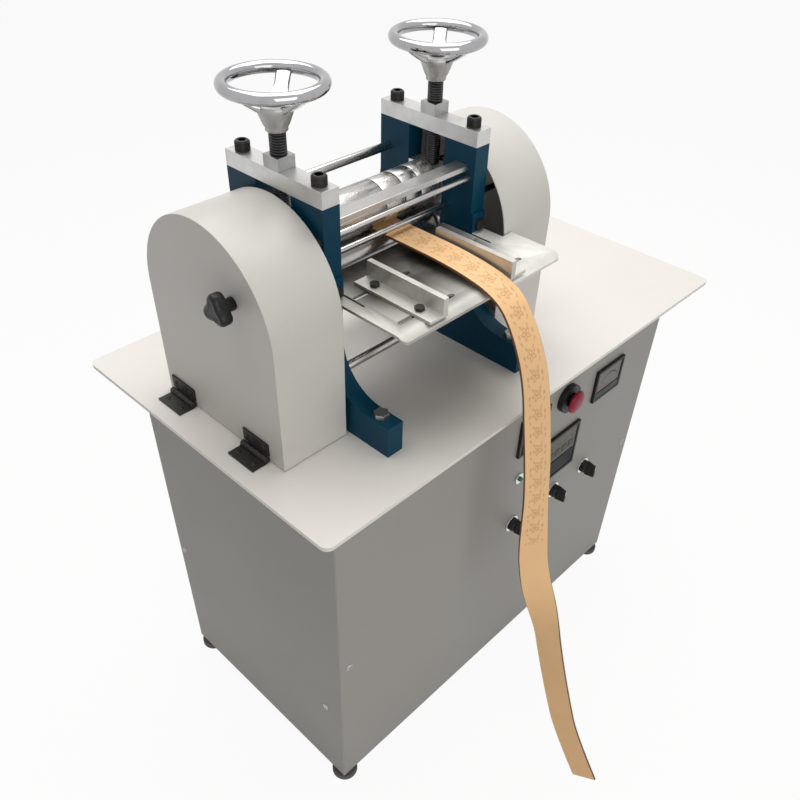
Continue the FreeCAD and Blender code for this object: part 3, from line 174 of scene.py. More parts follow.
class Graph:
    """The nodes of one material, built from Python expressions."""

    def __init__(self, name: str) -> None:
        """Start an empty material."""
        self.material = bpy.data.materials.new(name)
        self.material.use_nodes = True
        self.tree = self.material.node_tree
        self.tree.nodes.clear()
        self.place = Value(self, self.node("ShaderNodeTexCoord").outputs["Object"])
        self.surface = Value(self, self.node("ShaderNodeTexCoord").outputs["UV"])

    def node(
        self,
        kind: str,
        settings: dict[str, Any] | None = None,
        sockets: dict[str | int, Any] | None = None,
    ) -> bpy.types.Node:
        """Make a node of any kind.

        Args:
            kind: the node's type.
            settings: its properties, or a ramp's stops; these are set first.
            sockets: values or links for its inputs, by name or number.

        Returns:
            The new node.
        """
        made = self.tree.nodes.new(kind)
        for name, setting in (settings or {}).items():
            if name == "stops":
                self._set_stops(made.color_ramp, setting)
            else:
                setattr(made, name, setting)
        for key, value in (sockets or {}).items():
            if isinstance(value, Value):
                self.tree.links.new(value.socket, made.inputs[key])
            else:
                made.inputs[key].default_value = value
        return made

    @staticmethod
    def _set_stops(ramp: bpy.types.ColorRamp, stops: Sequence[tuple[float, Sequence[float]]]) -> None:
        """Fill a colour ramp with its stops."""
        while len(ramp.elements) < len(stops):
            ramp.elements.new(1.0)
        for element, (position, colour) in zip(ramp.elements, stops):
            element.position = position
            element.color = (*colour, 1.0)

    def maths(self, operation: str, *terms: "Value | float", clamp: bool = False) -> Value:
        """Join values by a Math node.

        Args:
            operation: the Math node's operation.
            *terms: its inputs in order.
            clamp: keep the result between 0 and 1.

        Returns:
            The node's result.
        """
        settings = {"operation": operation, "use_clamp": clamp}
        return Value(self, self.node("ShaderNodeMath", settings, dict(enumerate(terms))).outputs[0])

    def mix(self, factor: "Value | float", first: Any, second: Any) -> Value:
        """Blend two colours.

        Args:
            factor: 0 for the first colour and 1 for the second.
            first: a colour of three numbers or a colour value.
            second: the same for the other end.

        Returns:
            The blended colour.
        """
        ends = [value if isinstance(value, Value) else (*value, 1.0) for value in (first, second)]
        made = self.node("ShaderNodeMix", {"data_type": "RGBA"}, {0: factor, 6: ends[0], 7: ends[1]})
        return Value(self, made.outputs[2])

    def noise(self, scale: float, detail: float = 3.0, stretch: Sequence[float] = (1, 1, 1)) -> Value:
        """Cloudy variation over the piece.

        Args:
            scale: waves for each metre.
            detail: how many finer layers are added.
            stretch: scale along X, Y and Z.

        Returns:
            A value about 0.5.
        """
        place = self.node("ShaderNodeMapping", None, {"Vector": self.place, "Scale": tuple(stretch)})
        sockets = {
            "Vector": Value(self, place.outputs[0]), "Scale": scale, "Detail": detail, "Roughness": 0.55}
        return Value(self, self.node("ShaderNodeTexNoise", None, sockets).outputs[0])

    def parts(self, vector: Value) -> list[Value]:
        """The three parts of a vector."""
        split = self.node("ShaderNodeSeparateXYZ", None, {0: vector})
        return [Value(self, socket) for socket in split.outputs]

    def relief(self, height: Value, strength: float, depth: float) -> Value:
        """Turn a height into a bumped normal.

        Args:
            height: the height, 0 to 1.
            strength: how much of the bump shows.
            depth: what a height of 1 is, in metres.

        Returns:
            The normal.
        """
        sockets = {"Strength": strength, "Distance": depth, "Height": height}
        return Value(self, self.node("ShaderNodeBump", None, sockets).outputs[0])

    def finish(self, sockets: dict[str | int, Any]) -> bpy.types.Material:
        """Close the graph with its surface shader.

        Args:
            sockets: values or links for the shader.

        Returns:
            The finished material.
        """
        for name in ("Base Color", "Emission Color"):
            colour = sockets.get(name)
            if colour is not None and not isinstance(colour, Value):
                sockets[name] = (*colour, 1.0)
        shader = self.node("ShaderNodeBsdfPrincipled", None, sockets)
        self.node("ShaderNodeOutputMaterial", None, {"Surface": Value(self, shader.outputs[0])})
        return self.material


@dataclass(frozen=True)
class Finish:
    """What every finish shares: its name and the record's slot."""

    name: str
    slot: str

    def make(self) -> bpy.types.Material:
        """Build the finish's material."""
        raise NotImplementedError


@dataclass(frozen=True)
class PaintedSheet(Finish):
    """Powder-coated or enamelled metal with orange peel, faint dust and handling marks."""

    colour: tuple[float, float, float]
    deep: tuple[float, float, float]
    roughness: float = 0.45
    grain: float = 1400.0
    depth: float = 0.00006
    shine: float = 0.5

    def make(self) -> bpy.types.Material:
        """Mix two tones over the piece and roughen the surface."""
        graph = Graph(self.name)
        cloud = graph.noise(5.0, 4.0)
        scuff = graph.noise(60.0, 5.0).below(0.33, 0.08)
        peel = graph.noise(self.grain, 2.0)
        tone = graph.mix(cloud.below(0.5, 0.5), self.colour, self.deep)
        wear_and_shade = graph.mix(scuff * 0.08, tone, shade(self.colour, 1.25, 0.02))
        return graph.finish({
            "Base Color": wear_and_shade,
            "Roughness": self.roughness + (cloud - 0.5) * 0.25 + scuff * 0.08,
            "Specular IOR Level": self.shine,
            "Normal": graph.relief(peel, 0.35, self.depth),
        })


@dataclass(frozen=True)
class WorkedMetal(Finish):
    """Bare metal with grinding lines, stains and fine scratches."""

    colour: tuple[float, float, float]
    stained: tuple[float, float, float]
    roughness: float = 0.3
    lines: tuple[float, float, float] = (1, 40, 40)
    metallic: float = 1.0
    depth: float = 0.00002
    shine: float = 0.5
    painted_shade: tuple[float, float, float] | None = None

    def make(self) -> bpy.types.Material:
        """Lay grinding lines along the piece and cloud them with stains; paint shade left of the roller
        centre and a dark shadow under the rollers.
        """
        graph = Graph(self.name)
        line = graph.noise(45.0, 5.0, self.lines)
        stain = graph.noise(22.0, 5.0)
        scratch = graph.noise(300.0, 2.0, (self.lines[0], self.lines[1] * 0.2, self.lines[2] * 0.2))
        colour = graph.mix(stain.below(0.46, 0.3), self.colour, self.stained)
        if self.painted_shade:
            # Painted shade zone: where the shadow under the rollers starts and where it is full, and how far
            # it reaches to either side of the roller centre.
            shade_start, shade_full, reach = self.painted_shade
            x, y, _ = graph.parts(graph.place)
            near = graph.maths("MULTIPLY", (y - shade_start) / (shade_full - shade_start), 1.0, clamp=True)
            # Painted shade: the plate is made a darker warm grey left of the roller centre.
            wear_and_shade = (x - HEAD_X).below(0.0, 0.05) * 0.7
            colour = graph.mix(wear_and_shade, colour, (0.27, 0.265, 0.235))
            # Painted shadow: near black under the rollers, clouded by the stains.
            painted_shadow = near * abs(x - HEAD_X).below(reach, 0.03) * graph.maths("ADD", stain, 0.45, clamp=True)
            colour = graph.mix(painted_shadow, colour, (0.06, 0.057, 0.05))
        return graph.finish({
            "Base Color": colour,
            "Metallic": self.metallic,
            "Specular IOR Level": self.shine,
            "Roughness": self.roughness + (line - 0.5) * 0.3 + stain.below(0.42, 0.2) * 0.12,
            "Normal": graph.relief(line + scratch * 0.5, 0.3, self.depth),
        })


@dataclass(frozen=True)
class Plating(Finish):
    """Polished chrome with finger smudges."""

    colour: tuple[float, float, float] = (0.40, 0.40, 0.41)
    roughness: float = 0.07

    def make(self) -> bpy.types.Material:
        """Blur the polish where hands hold it."""
        graph = Graph(self.name)
        smudge = graph.noise(34.0, 5.0)
        mark = smudge.below(0.45, 0.16)
        return graph.finish({
            "Base Color": graph.mix(mark, self.colour, shade(self.colour, 0.9)),
            "Metallic": 1.0,
            "Roughness": self.roughness + mark * 0.1,
            "Normal": graph.relief(graph.noise(9.0, 1.0), 0.12, 0.0004),
        })


@dataclass(frozen=True)
class Moulded(Finish):
    """Moulded plastic or rubber with a fine spark texture."""

    colour: tuple[float, float, float]
    roughness: float = 0.42
    grain: float = 2200.0
    shine: float = 0.5

    def make(self) -> bpy.types.Material:
        """Roughen the mould skin and grey it a little where it is handled."""
        graph = Graph(self.name)
        rub = graph.noise(70.0, 4.0).below(0.42, 0.14)
        return graph.finish({
            "Base Color": graph.mix(rub * 0.5, self.colour, shade(self.colour, 1.3, 0.015)),
            "Roughness": self.roughness + rub * 0.12,
            "Specular IOR Level": self.shine,
            "Normal": graph.relief(graph.noise(self.grain, 1.0), 0.3, 0.00005),
        })


@dataclass(frozen=True)
class ScrewThread(Finish):
    """Blackened steel with a thread cut along Z."""

    pitch: float = 0.003
    middle: tuple[float, float] = (0.0, 0.0)

    def make(self) -> bpy.types.Material:
        """Cut the thread as relief and brighten its crests."""
        graph = Graph(self.name)
        x, y, z = graph.parts(graph.place)
        turn = graph.maths("ARCTAN2", y - self.middle[1], x - self.middle[0]) / math.tau
        crest = abs((z / self.pitch + turn).fraction() - 0.5) * 2.0
        oil = graph.noise(80.0, 4.0)
        return graph.finish({
            "Base Color": graph.mix(crest.below(0.25, 0.3), (0.02, 0.02, 0.021), (0.10, 0.10, 0.105)),
            "Metallic": 0.85,
            "Roughness": 0.34 + (oil - 0.5) * 0.3,
            "Normal": graph.relief(crest, 0.9, 0.0011),
        })


@dataclass(frozen=True)
class CoiledWire(Finish):
    """Spring wire seen as close turns round a tube."""

    pitch: float = 0.0022

    def make(self) -> bpy.types.Material:
        """Round every turn with relief and paint shade dark into the gaps between them."""
        graph = Graph(self.name)
        _, _, z = graph.parts(graph.place)
        turn = ((z / self.pitch) * math.tau).sine() * 0.5 + 0.5
        rub = graph.noise(200.0, 3.0)
        return graph.finish({
            # Painted shade: the gaps between the turns are darkened nearly to black.
            "Base Color": graph.mix(turn.below(0.25, 0.3), (0.5, 0.5, 0.51), (0.03, 0.03, 0.03)),
            "Metallic": 0.9,
            "Roughness": 0.3 + rub * 0.15,
            "Normal": graph.relief(turn, 1.0, 0.0009),
        })


def rosette(graph: Graph, across: Value, along: Value) -> Value:
    """The stamped ornament: a five-petalled flower between two leaves and short strokes.

    Args:
        graph: the material's graph.
        across: millimetres from the strap's middle.
        along: millimetres from the flower's centre.

    Returns:
        1 where the die presses deepest and 0 on the plain ground.
    """
    reach = graph.maths("SQRT", across * across + along * along)
    angle = graph.maths("ARCTAN2", across, along)
    petals = 6.2 + (angle * 5.0).sine() * 1.9
    outline = abs(reach - petals).below(1.0, 1.5)
    heart = reach.below(2.2, 1.4)
    vein = abs((angle * 2.5).sine()).below(0.16, 0.2) * reach.below(5.0, 1.5)
    sway = 9.6 + (along * (math.tau / 28.0)).sine() * 3.6
    vine = abs(abs(across) - sway).below(1.0, 1.5) * abs(abs(along) - 9.5).below(2.4, 1.6)
    leaf_reach = graph.maths("SQRT", (abs(across) - 13.0) * (abs(across) - 13.0) + along * along * 0.25)
    leaf = leaf_reach.below(1.6, 1.4)
    pressed = graph.maths("MAXIMUM", outline, heart)
    for stroke in (vein, vine, leaf):
        pressed = graph.maths("MAXIMUM", pressed, stroke)
    return pressed


@dataclass(frozen=True)
class StampedLeather(Finish):
    """The strap's grain side, stamped with flowers as far as the rollers have pressed it."""

    colour: tuple[float, float, float] = (0.96, 0.605, 0.315)
    burnt: tuple[float, float, float] = (0.56, 0.27, 0.11)
    stamped: float = 0.66
    repeat: float = 28.0

    def make(self) -> bpy.types.Material:
        """Press the ornament into pebbled grain."""
        graph = Graph(self.name)
        across, along, _ = graph.parts(graph.surface)
        across = across * 23.0
        centred = ((along * (1000 / self.repeat)).fraction() - 0.5) * self.repeat
        pressed = rosette(graph, across, centred) * along.below(self.stamped, 0.01)
        grain = graph.noise(900.0, 3.0)
        pores = graph.node("ShaderNodeTexVoronoi", None, {"Vector": graph.place, "Scale": 1300.0})
        cloud = graph.noise(14.0, 4.0)
        tone = graph.mix(cloud.below(0.5, 0.4), self.colour, shade(self.colour, 1.06))
        burnt = graph.mix(pressed * 0.5, tone, self.burnt)
        height = Value(graph, pores.outputs["Distance"]) * 0.25 + grain * 0.35 - pressed * 1.6
        return graph.finish({
            "Base Color": burnt,
            "Roughness": 0.58 - pressed * 0.1 + (cloud - 0.5) * 0.2,
            "Specular IOR Level": 0.3,
            "Normal": graph.relief(height, 0.7, 0.0005),
        })


@dataclass(frozen=True)
class Fibre(Finish):
    """Leather's flesh side or its cut edge."""

    colour: tuple[float, float, float]
    grain: float = 1600.0

    def make(self) -> bpy.types.Material:
        """Tangle short fibres in two tones."""
        graph = Graph(self.name)
        nap = graph.noise(self.grain, 5.0)
        return graph.finish({
            "Base Color": graph.mix(nap.below(0.5, 0.4), self.colour, shade(self.colour, 0.7)),
            "Roughness": 0.75 + (nap - 0.5) * 0.2,
            "Normal": graph.relief(nap, 0.6, 0.0003),
        })


@dataclass(frozen=True)
class EngravedRoller(Finish):
    """A die ring with the strap's ornament cut round it."""

    axis_z: float = 0.911
    radius: float = 0.030
    middle: float = HEAD_X + 0.033
    repeats: int = 7

    def make(self) -> bpy.types.Material:
        """Unroll the ring and engrave the flowers with dark, oily cuts."""
        graph = Graph(self.name)
        x, y, z = graph.parts(graph.place)
        turn = graph.maths("ARCTAN2", y, z - self.axis_z) / math.tau
        step = self.radius * math.tau * 1000 / self.repeats
        along = ((turn * self.repeats).fraction() - 0.5) * step
        across = ((x - self.middle) / 0.065).fraction() * 65.0
        across = graph.maths("PINGPONG", across + 0.001, 32.5)
        cut = rosette(graph, across, along)
        oil = graph.noise(60.0, 4.0)
        return graph.finish({
            "Base Color": graph.mix(cut * 0.35, (0.54, 0.53, 0.515), (0.16, 0.145, 0.13)),
            "Metallic": 0.95,
            "Roughness": 0.27 + (oil - 0.5) * 0.25 + cut * 0.2,
            "Normal": graph.relief(cut * -1.0, 0.35, 0.0002),
        })


@dataclass(frozen=True)
class Lit(Finish):
    """A lit segment of an instrument."""

    colour: tuple[float, float, float]
    strength: float = 1.4

    def make(self) -> bpy.types.Material:
        """Glow a little unevenly, as small lamps do."""
        graph = Graph(self.name)
        uneven = graph.noise(500.0, 2.0)
        return graph.finish({
            "Base Color": graph.mix(uneven, self.colour, shade(self.colour, 0.6)),
            "Emission Color": graph.mix(uneven, self.colour, shade(self.colour, 0.8)),
            "Emission Strength": self.strength,
            "Roughness": 0.4,
        })


@dataclass(frozen=True)
class Window(Finish):
    """A dark, smooth instrument window with faint dust."""

    colour: tuple[float, float, float] = (0.012, 0.014, 0.016)

    def make(self) -> bpy.types.Material:
        """Keep it glossy with a dusty cloud."""
        graph = Graph(self.name)
        dust = graph.noise(120.0, 4.0)
        return graph.finish({
            "Base Color": graph.mix(dust.below(0.4, 0.2), self.colour, shade(self.colour, 1.0, 0.01)),
            "Roughness": 0.3 + dust.below(0.45, 0.2) * 0.08,
            "Specular IOR Level": 0.05,
        })


class Finishes:
    """The machine's finishes, each made once."""

    CABINET = PaintedSheet(
        "cabinet_powder_coat", "cabinet_paint", (0.355, 0.345, 0.325), (0.333, 0.324, 0.305), 0.55)
    TABLE = PaintedSheet("table_powder_coat", "table_paint", (0.86, 0.835, 0.79), (0.83, 0.80, 0.755), 0.38)
    COVER = PaintedSheet("cover_powder_coat", "cover_paint", (0.69, 0.67, 0.635), (0.66, 0.64, 0.605), 0.4)
    ENAMEL = PaintedSheet(
        "frame_enamel_blue", "frame_enamel", (0.001, 0.052, 0.098), (0.001, 0.040, 0.078), 0.42, 420.0,
        0.0004, 0.15)
    MOTOR = PaintedSheet(
        "motor_enamel", "motor_paint", (0.05, 0.11, 0.16), (0.04, 0.09, 0.14), 0.35, 500.0, 0.0003)
    STEEL_X = WorkedMetal(
        "ground_steel", "bright_steel", (0.54, 0.53, 0.52), (0.40, 0.39, 0.375), 0.24, (1, 30, 30))
    STEEL_Y = WorkedMetal(
        "plate_steel", "bright_steel", (0.60, 0.60, 0.59), (0.47, 0.46, 0.45), 0.34, (30, 1, 30))
    BOLT = WorkedMetal(
        "bolt_steel", "bright_steel", (0.42, 0.42, 0.42), (0.28, 0.27, 0.26), 0.34, (12, 12, 12))
    GEAR = WorkedMetal(
        "oiled_gear_steel", "gear_steel", (0.33, 0.32, 0.31), (0.16, 0.15, 0.13), 0.3, (20, 20, 20))
    BLACK = WorkedMetal(
        "black_oxide", "black_steel", (0.016, 0.0155, 0.015), (0.036, 0.031, 0.026), 0.42, (10, 10, 10), 0.15,
        shine=0.3)
    ALUMINIUM = WorkedMetal(
        "brushed_aluminium", "plate_aluminium", (0.60, 0.59, 0.55), (0.46, 0.45, 0.41), 0.44, (26, 1, 26),
        0.7)
    BRASS = WorkedMetal(
        "turned_brass", "contact_brass", (0.76, 0.56, 0.27), (0.5, 0.34, 0.16), 0.28, (40, 1, 1))
    # Painted shade on the guide plate: a darker left half and a dark shadow under the rollers.
    PLATE = WorkedMetal(
        "guide_plate_metal", "plate_aluminium", (0.78, 0.77, 0.73), (0.62, 0.61, 0.57), 0.5, (1, 26, 26), 0.5,
        painted_shade=(-0.200, -0.120, 0.110))
    CHROME = Plating("wheel_chrome", "chrome")
    BEZEL = Plating("bezel_chrome", "bezel_metal", (0.74, 0.74, 0.75), 0.16)
    BLACK_PLASTIC = Moulded("black_moulding", "black_plastic", (0.010, 0.010, 0.010), 0.42, shine=0.3)
    KNOB = Moulded("knob_moulding", "black_plastic", (0.007, 0.007, 0.007), 0.34, 1500.0, shine=0.3)
    HUB = WorkedMetal(
        "blasted_hub", "chrome", (0.44, 0.44, 0.43), (0.36, 0.355, 0.34), 0.42, (14, 14, 14), 0.9)
    RED = Moulded("stop_red", "red_plastic", (0.27, 0.004, 0.030), 0.28, 1800.0, 0.25)
    GREEN = Moulded("start_green", "green_plastic", (0.02, 0.13, 0.05), 0.3, 1800.0)
    RUBBER = Moulded("foot_rubber_grey", "foot_rubber", (0.115, 0.11, 0.105), 0.7)
    WIRE = CoiledWire("spring_wire", "bright_steel")
    LEFT_SCREW = ScrewThread("left_screw_thread", "black_steel", middle=(HEAD_X - FRAME_X / 1000, 0.0))
    RIGHT_SCREW = ScrewThread("right_screw_thread", "black_steel", middle=(HEAD_X + FRAME_X / 1000, 0.0))
    BELT = Fibre("belt_wrap", "belt_rubber", (0.025, 0.025, 0.025), 900.0)
    GRAIN = StampedLeather("strap_grain_side", "strap_leather")
    FLESH = Fibre("strap_flesh_side", "strap_leather", (0.62, 0.42, 0.27))
    EDGE = Fibre("strap_cut_edge", "strap_leather", (0.20, 0.095, 0.045), 2600.0)
    DIE = EngravedRoller("engraved_die", "die_steel")
    WINDOW = Window("instrument_window", "black_plastic")
    DIAL = Moulded("dial_card", "black_plastic", (0.16, 0.155, 0.143), 0.35, shine=0.2)
    FACE = Moulded("instrument_face", "black_plastic", (0.150, 0.142, 0.120), 0.5, shine=0.2)
    MARK = Moulded("white_mark", "black_plastic", (0.75, 0.75, 0.73), 0.5)
    KEY = Moulded("rubber_key", "black_plastic", (0.06, 0.06, 0.06), 0.6)
    RED_LIT = Lit("red_segments", "red_plastic", (0.16, 0.02, 0.015), 0.15)
    GREEN_LIT = Lit("green_segments", "green_plastic", (0.02, 0.10, 0.04), 0.12)
    _made: dict[str, bpy.types.Material] = {}

    @classmethod
    def material(cls, finish: Finish) -> bpy.types.Material:
        """The finish's material, made at its first use."""
        if finish.name not in cls._made:
            cls._made[finish.name] = finish.make()
        return cls._made[finish.name]


class Workshop:
    """Turns meshes into finished pieces that ride on the machine's bodies."""

    def __init__(self, machine: dict[str, Any]) -> None:
        """Read which body carries each node."""
        self.nodes = machine["nodes"]
        groups = machine["record"]["behaviour"]["bodies"]
        self.carrier = {node: body for body, members in groups.items() for node in members}
        self.count = 0

    def piece(
        self,
        name: str,
        mesh: bmesh.types.BMesh,
        body: str,
        finishes: Sequence[Finish],
        replaced: Sequence[str] = (),
        crease: float = 32.0,
        outward: bool = True,
    ) -> bpy.types.Object:
        """Finish a mesh as a piece.

        Args:
            name: the piece's name.
            mesh: its mesh in metres, in the machine's frame; it is freed here.
            body: the body that carries it.
            finishes: its finishes in the order of the faces' material numbers.
            replaced: the nodes that it stands for.
            crease: the angle in degrees over which an edge stays sharp.
            outward: turn its faces outwards first.

        Returns:
            The piece's object.
        """
        if outward:
            bmesh.ops.recalc_face_normals(mesh, faces=mesh.faces)
        for face in mesh.faces:
            face.smooth = True
        for edge in mesh.edges:
            turn = edge.calc_face_angle(None) if len(edge.link_faces) == 2 else math.pi
            edge.smooth = turn is not None and turn < math.radians(crease)
        flatten_broad(mesh, crease)
        data = bpy.data.meshes.new(name)
        mesh.to_mesh(data)
        mesh.free()
        made = bpy.data.objects.new(name, data)
        bpy.context.scene.collection.objects.link(made)
        for finish in finishes:
            data.materials.append(Finishes.material(finish))
        if replaced:
            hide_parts(*replaced)
        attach(made, body)
        self.count += 1
        LOG.info("%s: %d faces on %s", name, len(data.polygons), body)
        return made

    def carried(
        self, node: str, finish: Finish, edge: float = 0.0006, crease: float = 32.0,
    ) -> bpy.types.Object:
        """Dress a machined node: merge its mesh and round its sharp edges.

        Args:
            node: the node that is dressed.
            finish: what it is finished with.
            edge: the rounding of its edges in metres.
            crease: the angle in degrees over which an edge is rounded.

        Returns:
            The dressed piece.
        """
        mesh = bmesh.new()
        mesh.from_mesh(self.nodes[node].data)
        bmesh.ops.remove_doubles(mesh, verts=mesh.verts, dist=1e-6)
        bmesh.ops.dissolve_limit(
            mesh, angle_limit=math.radians(0.6), verts=mesh.verts, edges=mesh.edges,
            use_dissolve_boundaries=False)
        if edge > 0:
            round_edges(mesh, edge, crease)
        return self.piece(node + "_finished", mesh, self.carrier[node], [finish], [node], crease, False)


def flatten_broad(mesh: bmesh.types.BMesh, crease: float) -> None:
    """Shade a broad face flat where only narrow rounding meets it, which would bend its light.

    Args:
        mesh: the mesh that is changed.
        crease: the angle in degrees over which an edge stays sharp.
    """
    for face in mesh.faces:
        bent = []
        for edge in face.edges:
            turn = edge.calc_face_angle(None) if len(edge.link_faces) == 2 else None
            if turn is not None and math.radians(0.7) < turn < math.radians(crease):
                bent += [other for other in edge.link_faces if other is not face]
        limit = face.calc_area() * 0.1
        if bent and all(other.calc_area() < limit for other in bent):
            face.smooth = False


def paint(faces: Iterable[Any], number: int) -> None:
    """Give faces one of their piece's finishes, by its number."""
    for face in faces:
        face.material_index = number


def bevel(
    mesh: bmesh.types.BMesh, edges: list[bmesh.types.BMEdge], width: float, segments: int, material: int = -1,
    clamp: bool = False,
) -> None:
    """Round chosen edges.

    Args:
        mesh: the mesh that is changed.
        edges: the edges that are rounded.
        width: the rounding's width in metres.
        segments: how many faces the rounding has.
        material: the finish of the new faces; -1 keeps their neighbours'.
        clamp: keep neighbouring roundings from crossing.
    """
    bmesh.ops.bevel(
        mesh, geom=edges, offset=width, offset_type="OFFSET", affect="EDGES", segments=segments, profile=0.5,
        material=material, clamp_overlap=clamp)


def round_edges(mesh: bmesh.types.BMesh, width: float, crease: float = 32.0, segments: int = 2) -> None:
    """Bevel every edge sharper than a crease.

    Args:
        mesh: the mesh that is changed.
        width: the bevel's width in metres.
        crease: the angle in degrees.
        segments: how many faces the bevel has.
    """
    sharp = [
        edge for edge in mesh.edges
        if len(edge.link_faces) == 2 and (edge.calc_face_angle(None) or 0) > math.radians(crease)
    ]
    bevel(mesh, sharp, width, segments, clamp=True)


def block(mesh: bmesh.types.BMesh, low: Sequence[float], high: Sequence[float]) -> list[bmesh.types.BMVert]:
    """Add a block between two corners.

    Args:
        mesh: the mesh that it joins.
        low: its lowest corner.
        high: its highest corner.

    Returns:
        The block's vertices.
    """
    low, high = Vector(low), Vector(high)
    size = high - low
    place = Matrix.Translation((low + high) / 2) @ Matrix.Diagonal((*size, 1))
    return bmesh.ops.create_cube(mesh, size=1, matrix=place)["verts"]


def disc(
    mesh: bmesh.types.BMesh, start: Vector, axis: Axis, radius: float, length: float, sides: int = 40,
) -> list[bmesh.types.BMVert]:
    """Add a round bar.

    Args:
        mesh: the mesh that it joins.
        start: the centre of its first end.
        axis: the direction that it runs in.
        radius: its radius.
        length: its length.
        sides: how many flats go round it.

    Returns:
        The bar's vertices.
    """
    turn = Vector((0, 0, 1)).rotation_difference(axis.value).to_matrix().to_4x4()
    place = Matrix.Translation(start + axis.value * (length / 2)) @ turn
    return bmesh.ops.create_cone(
        mesh, cap_ends=True, segments=sides, radius1=radius, radius2=radius, depth=length,
        matrix=place)["verts"]


def lathe(
    mesh: bmesh.types.BMesh, profile: Iterable[tuple[float, float]], steps: int, place: Matrix | None = None,
) -> None:
    """Spin a profile about Z into a closed turned shape.

    Args:
        mesh: the mesh that it joins.
        profile: radius and height of each corner, from one end of the axis to the other.
        steps: how many steps make a full turn.
        place: where the turned shape goes, if not on the Z axis.
    """
    before = set(mesh.verts)
    corners = [mesh.verts.new((radius, 0, height)) for radius, height in profile]
    edges = [mesh.edges.new(pair) for pair in zip(corners, corners[1:])]
    bmesh.ops.spin(
        mesh, geom=corners + edges, cent=(0, 0, 0), axis=(0, 0, 1), angle=math.tau, steps=steps,
        use_merge=True)
    made = [vert for vert in mesh.verts if vert not in before]
    bmesh.ops.remove_doubles(mesh, verts=made, dist=1e-6)
    if place is not None:
        made = [vert for vert in mesh.verts if vert not in before]
        bmesh.ops.transform(mesh, matrix=place, verts=made)


def join(mesh: bmesh.types.BMesh, part: bmesh.types.BMesh) -> None:
    """Move a part into a mesh and free it."""
    data = bpy.data.meshes.new("joined")
    part.to_mesh(data)
    part.free()
    mesh.from_mesh(data)
    bpy.data.meshes.remove(data)


def slotted_head(mesh: bmesh.types.BMesh, spot: Vector, outward: Vector, radius: float) -> None:
    """Add a domed screw head with a shallow drive recess.

    Args:
        mesh: the mesh that it joins.
        spot: the middle of its foot.
        outward: the direction that it stands in.
        radius: its radius.
    """
    place = Matrix.Translation(spot) @ Vector((0, 0, 1)).rotation_difference(outward).to_matrix().to_4x4()
    profile = [(0, 0), (radius, 0), (radius * 0.97, radius * 0.14), (radius * 0.75, radius * 0.32),
               (radius * 0.42, radius * 0.40), (radius * 0.36, radius * 0.18), (0, radius * 0.14)]
    lathe(mesh, profile, 24, place)


@dataclass
class Cabinet:
    """The sheet cabinet with its screws, feet and louvres."""

    shop: Workshop
    painted: tuple[str, ...] = (
        "left_panel", "right_panel", "front_panel", "rear_panel", "corner_posts", "frame_rails", "floor_pan",
        "motor_stand")
    screw_radius: float = 0.006
    screws: tuple[tuple[float, float], ...] = ((-0.172, 0.484), (0.198, 0.401))
    faces: tuple[tuple[int, float, float], ...] = (
        (-1, -0.370, 0.352), (-1, 0.370, 0.352), (1, -0.360, 0.090), (1, 0.360, 0.090), (1, -0.360, 0.560),
        (1, 0.360, 0.560))
    vent_columns: tuple[float, float] = (0.780 * -0.295, 0.780 * (0.385 - 0.295))
    vent_drops: tuple[float, ...] = tuple(0.140 + 0.022 * line for line in range(6))
    hood_foot: float = 0.2101

    def build(self) -> None:
        """Dress the sheet metal, table, feet and gland, and add screws and louvre hoods."""
        for node in self.painted:
            self.shop.carried(node, Finishes.CABINET)
        self.shop.carried("table_top", Finishes.TABLE, 0.0016)
        self.shop.carried("levelling_feet", Finishes.RUBBER, 0.002)
        self.shop.carried("cable_gland", Finishes.BLACK_PLASTIC, 0.0008)
        self._screws()
        self._louvres()

    def _screws(self) -> None:
        """Domed screw heads on the four panels."""
        mesh = bmesh.new()
        for side in Side:
            for along, drop in self.screws:
                spot = Vector((side.value * PANEL_X, along, TABLE_Z - drop))
                slotted_head(mesh, spot, Vector((side.value, 0, 0)), self.screw_radius)
        for way, along, drop in self.faces:
            spot = Vector((along, -way * PANEL_Y, TABLE_Z - drop))
            slotted_head(mesh, spot, Vector((0, way, 0)), self.screw_radius)
        self.shop.piece("panel_screw_heads", mesh, "machine", [Finishes.BOLT], ["panel_screws"])

    def _louvres(self) -> None:
        """Pressed hoods over the rear panel's vents."""
        mesh = bmesh.new()
        foot = self.hood_foot
        for x in self.vent_columns:
            for drop in self.vent_drops:
                z = TABLE_Z - drop
                made = disc(mesh, Vector((x, foot, z + 0.003)), Axis.X, 0.007, 0.156, 24)
                bmesh.ops.scale(mesh, vec=(1, 0.8, 1), space=Matrix.Translation((0, -foot, 0)), verts=made)
                edges = {edge for vert in made for edge in vert.link_edges}
                faces = {face for vert in made for face in vert.link_faces}
                cut = bmesh.ops.bisect_plane(
                    mesh, geom=made + list(edges | faces), plane_co=(0, foot, 0), plane_no=(0, -1, 0),
                    clear_outer=True)
                rest = [item for item in cut["geom"] if item.is_valid]
                bmesh.ops.bisect_plane(
                    mesh, geom=rest, plane_co=(0, 0, z + 0.001), plane_no=(0, 0, -1), clear_outer=True)
        bmesh.ops.solidify(mesh, geom=mesh.faces, thickness=0.0006)
        self.shop.piece("louvre_hoods", mesh, "machine", [Finishes.CABINET])


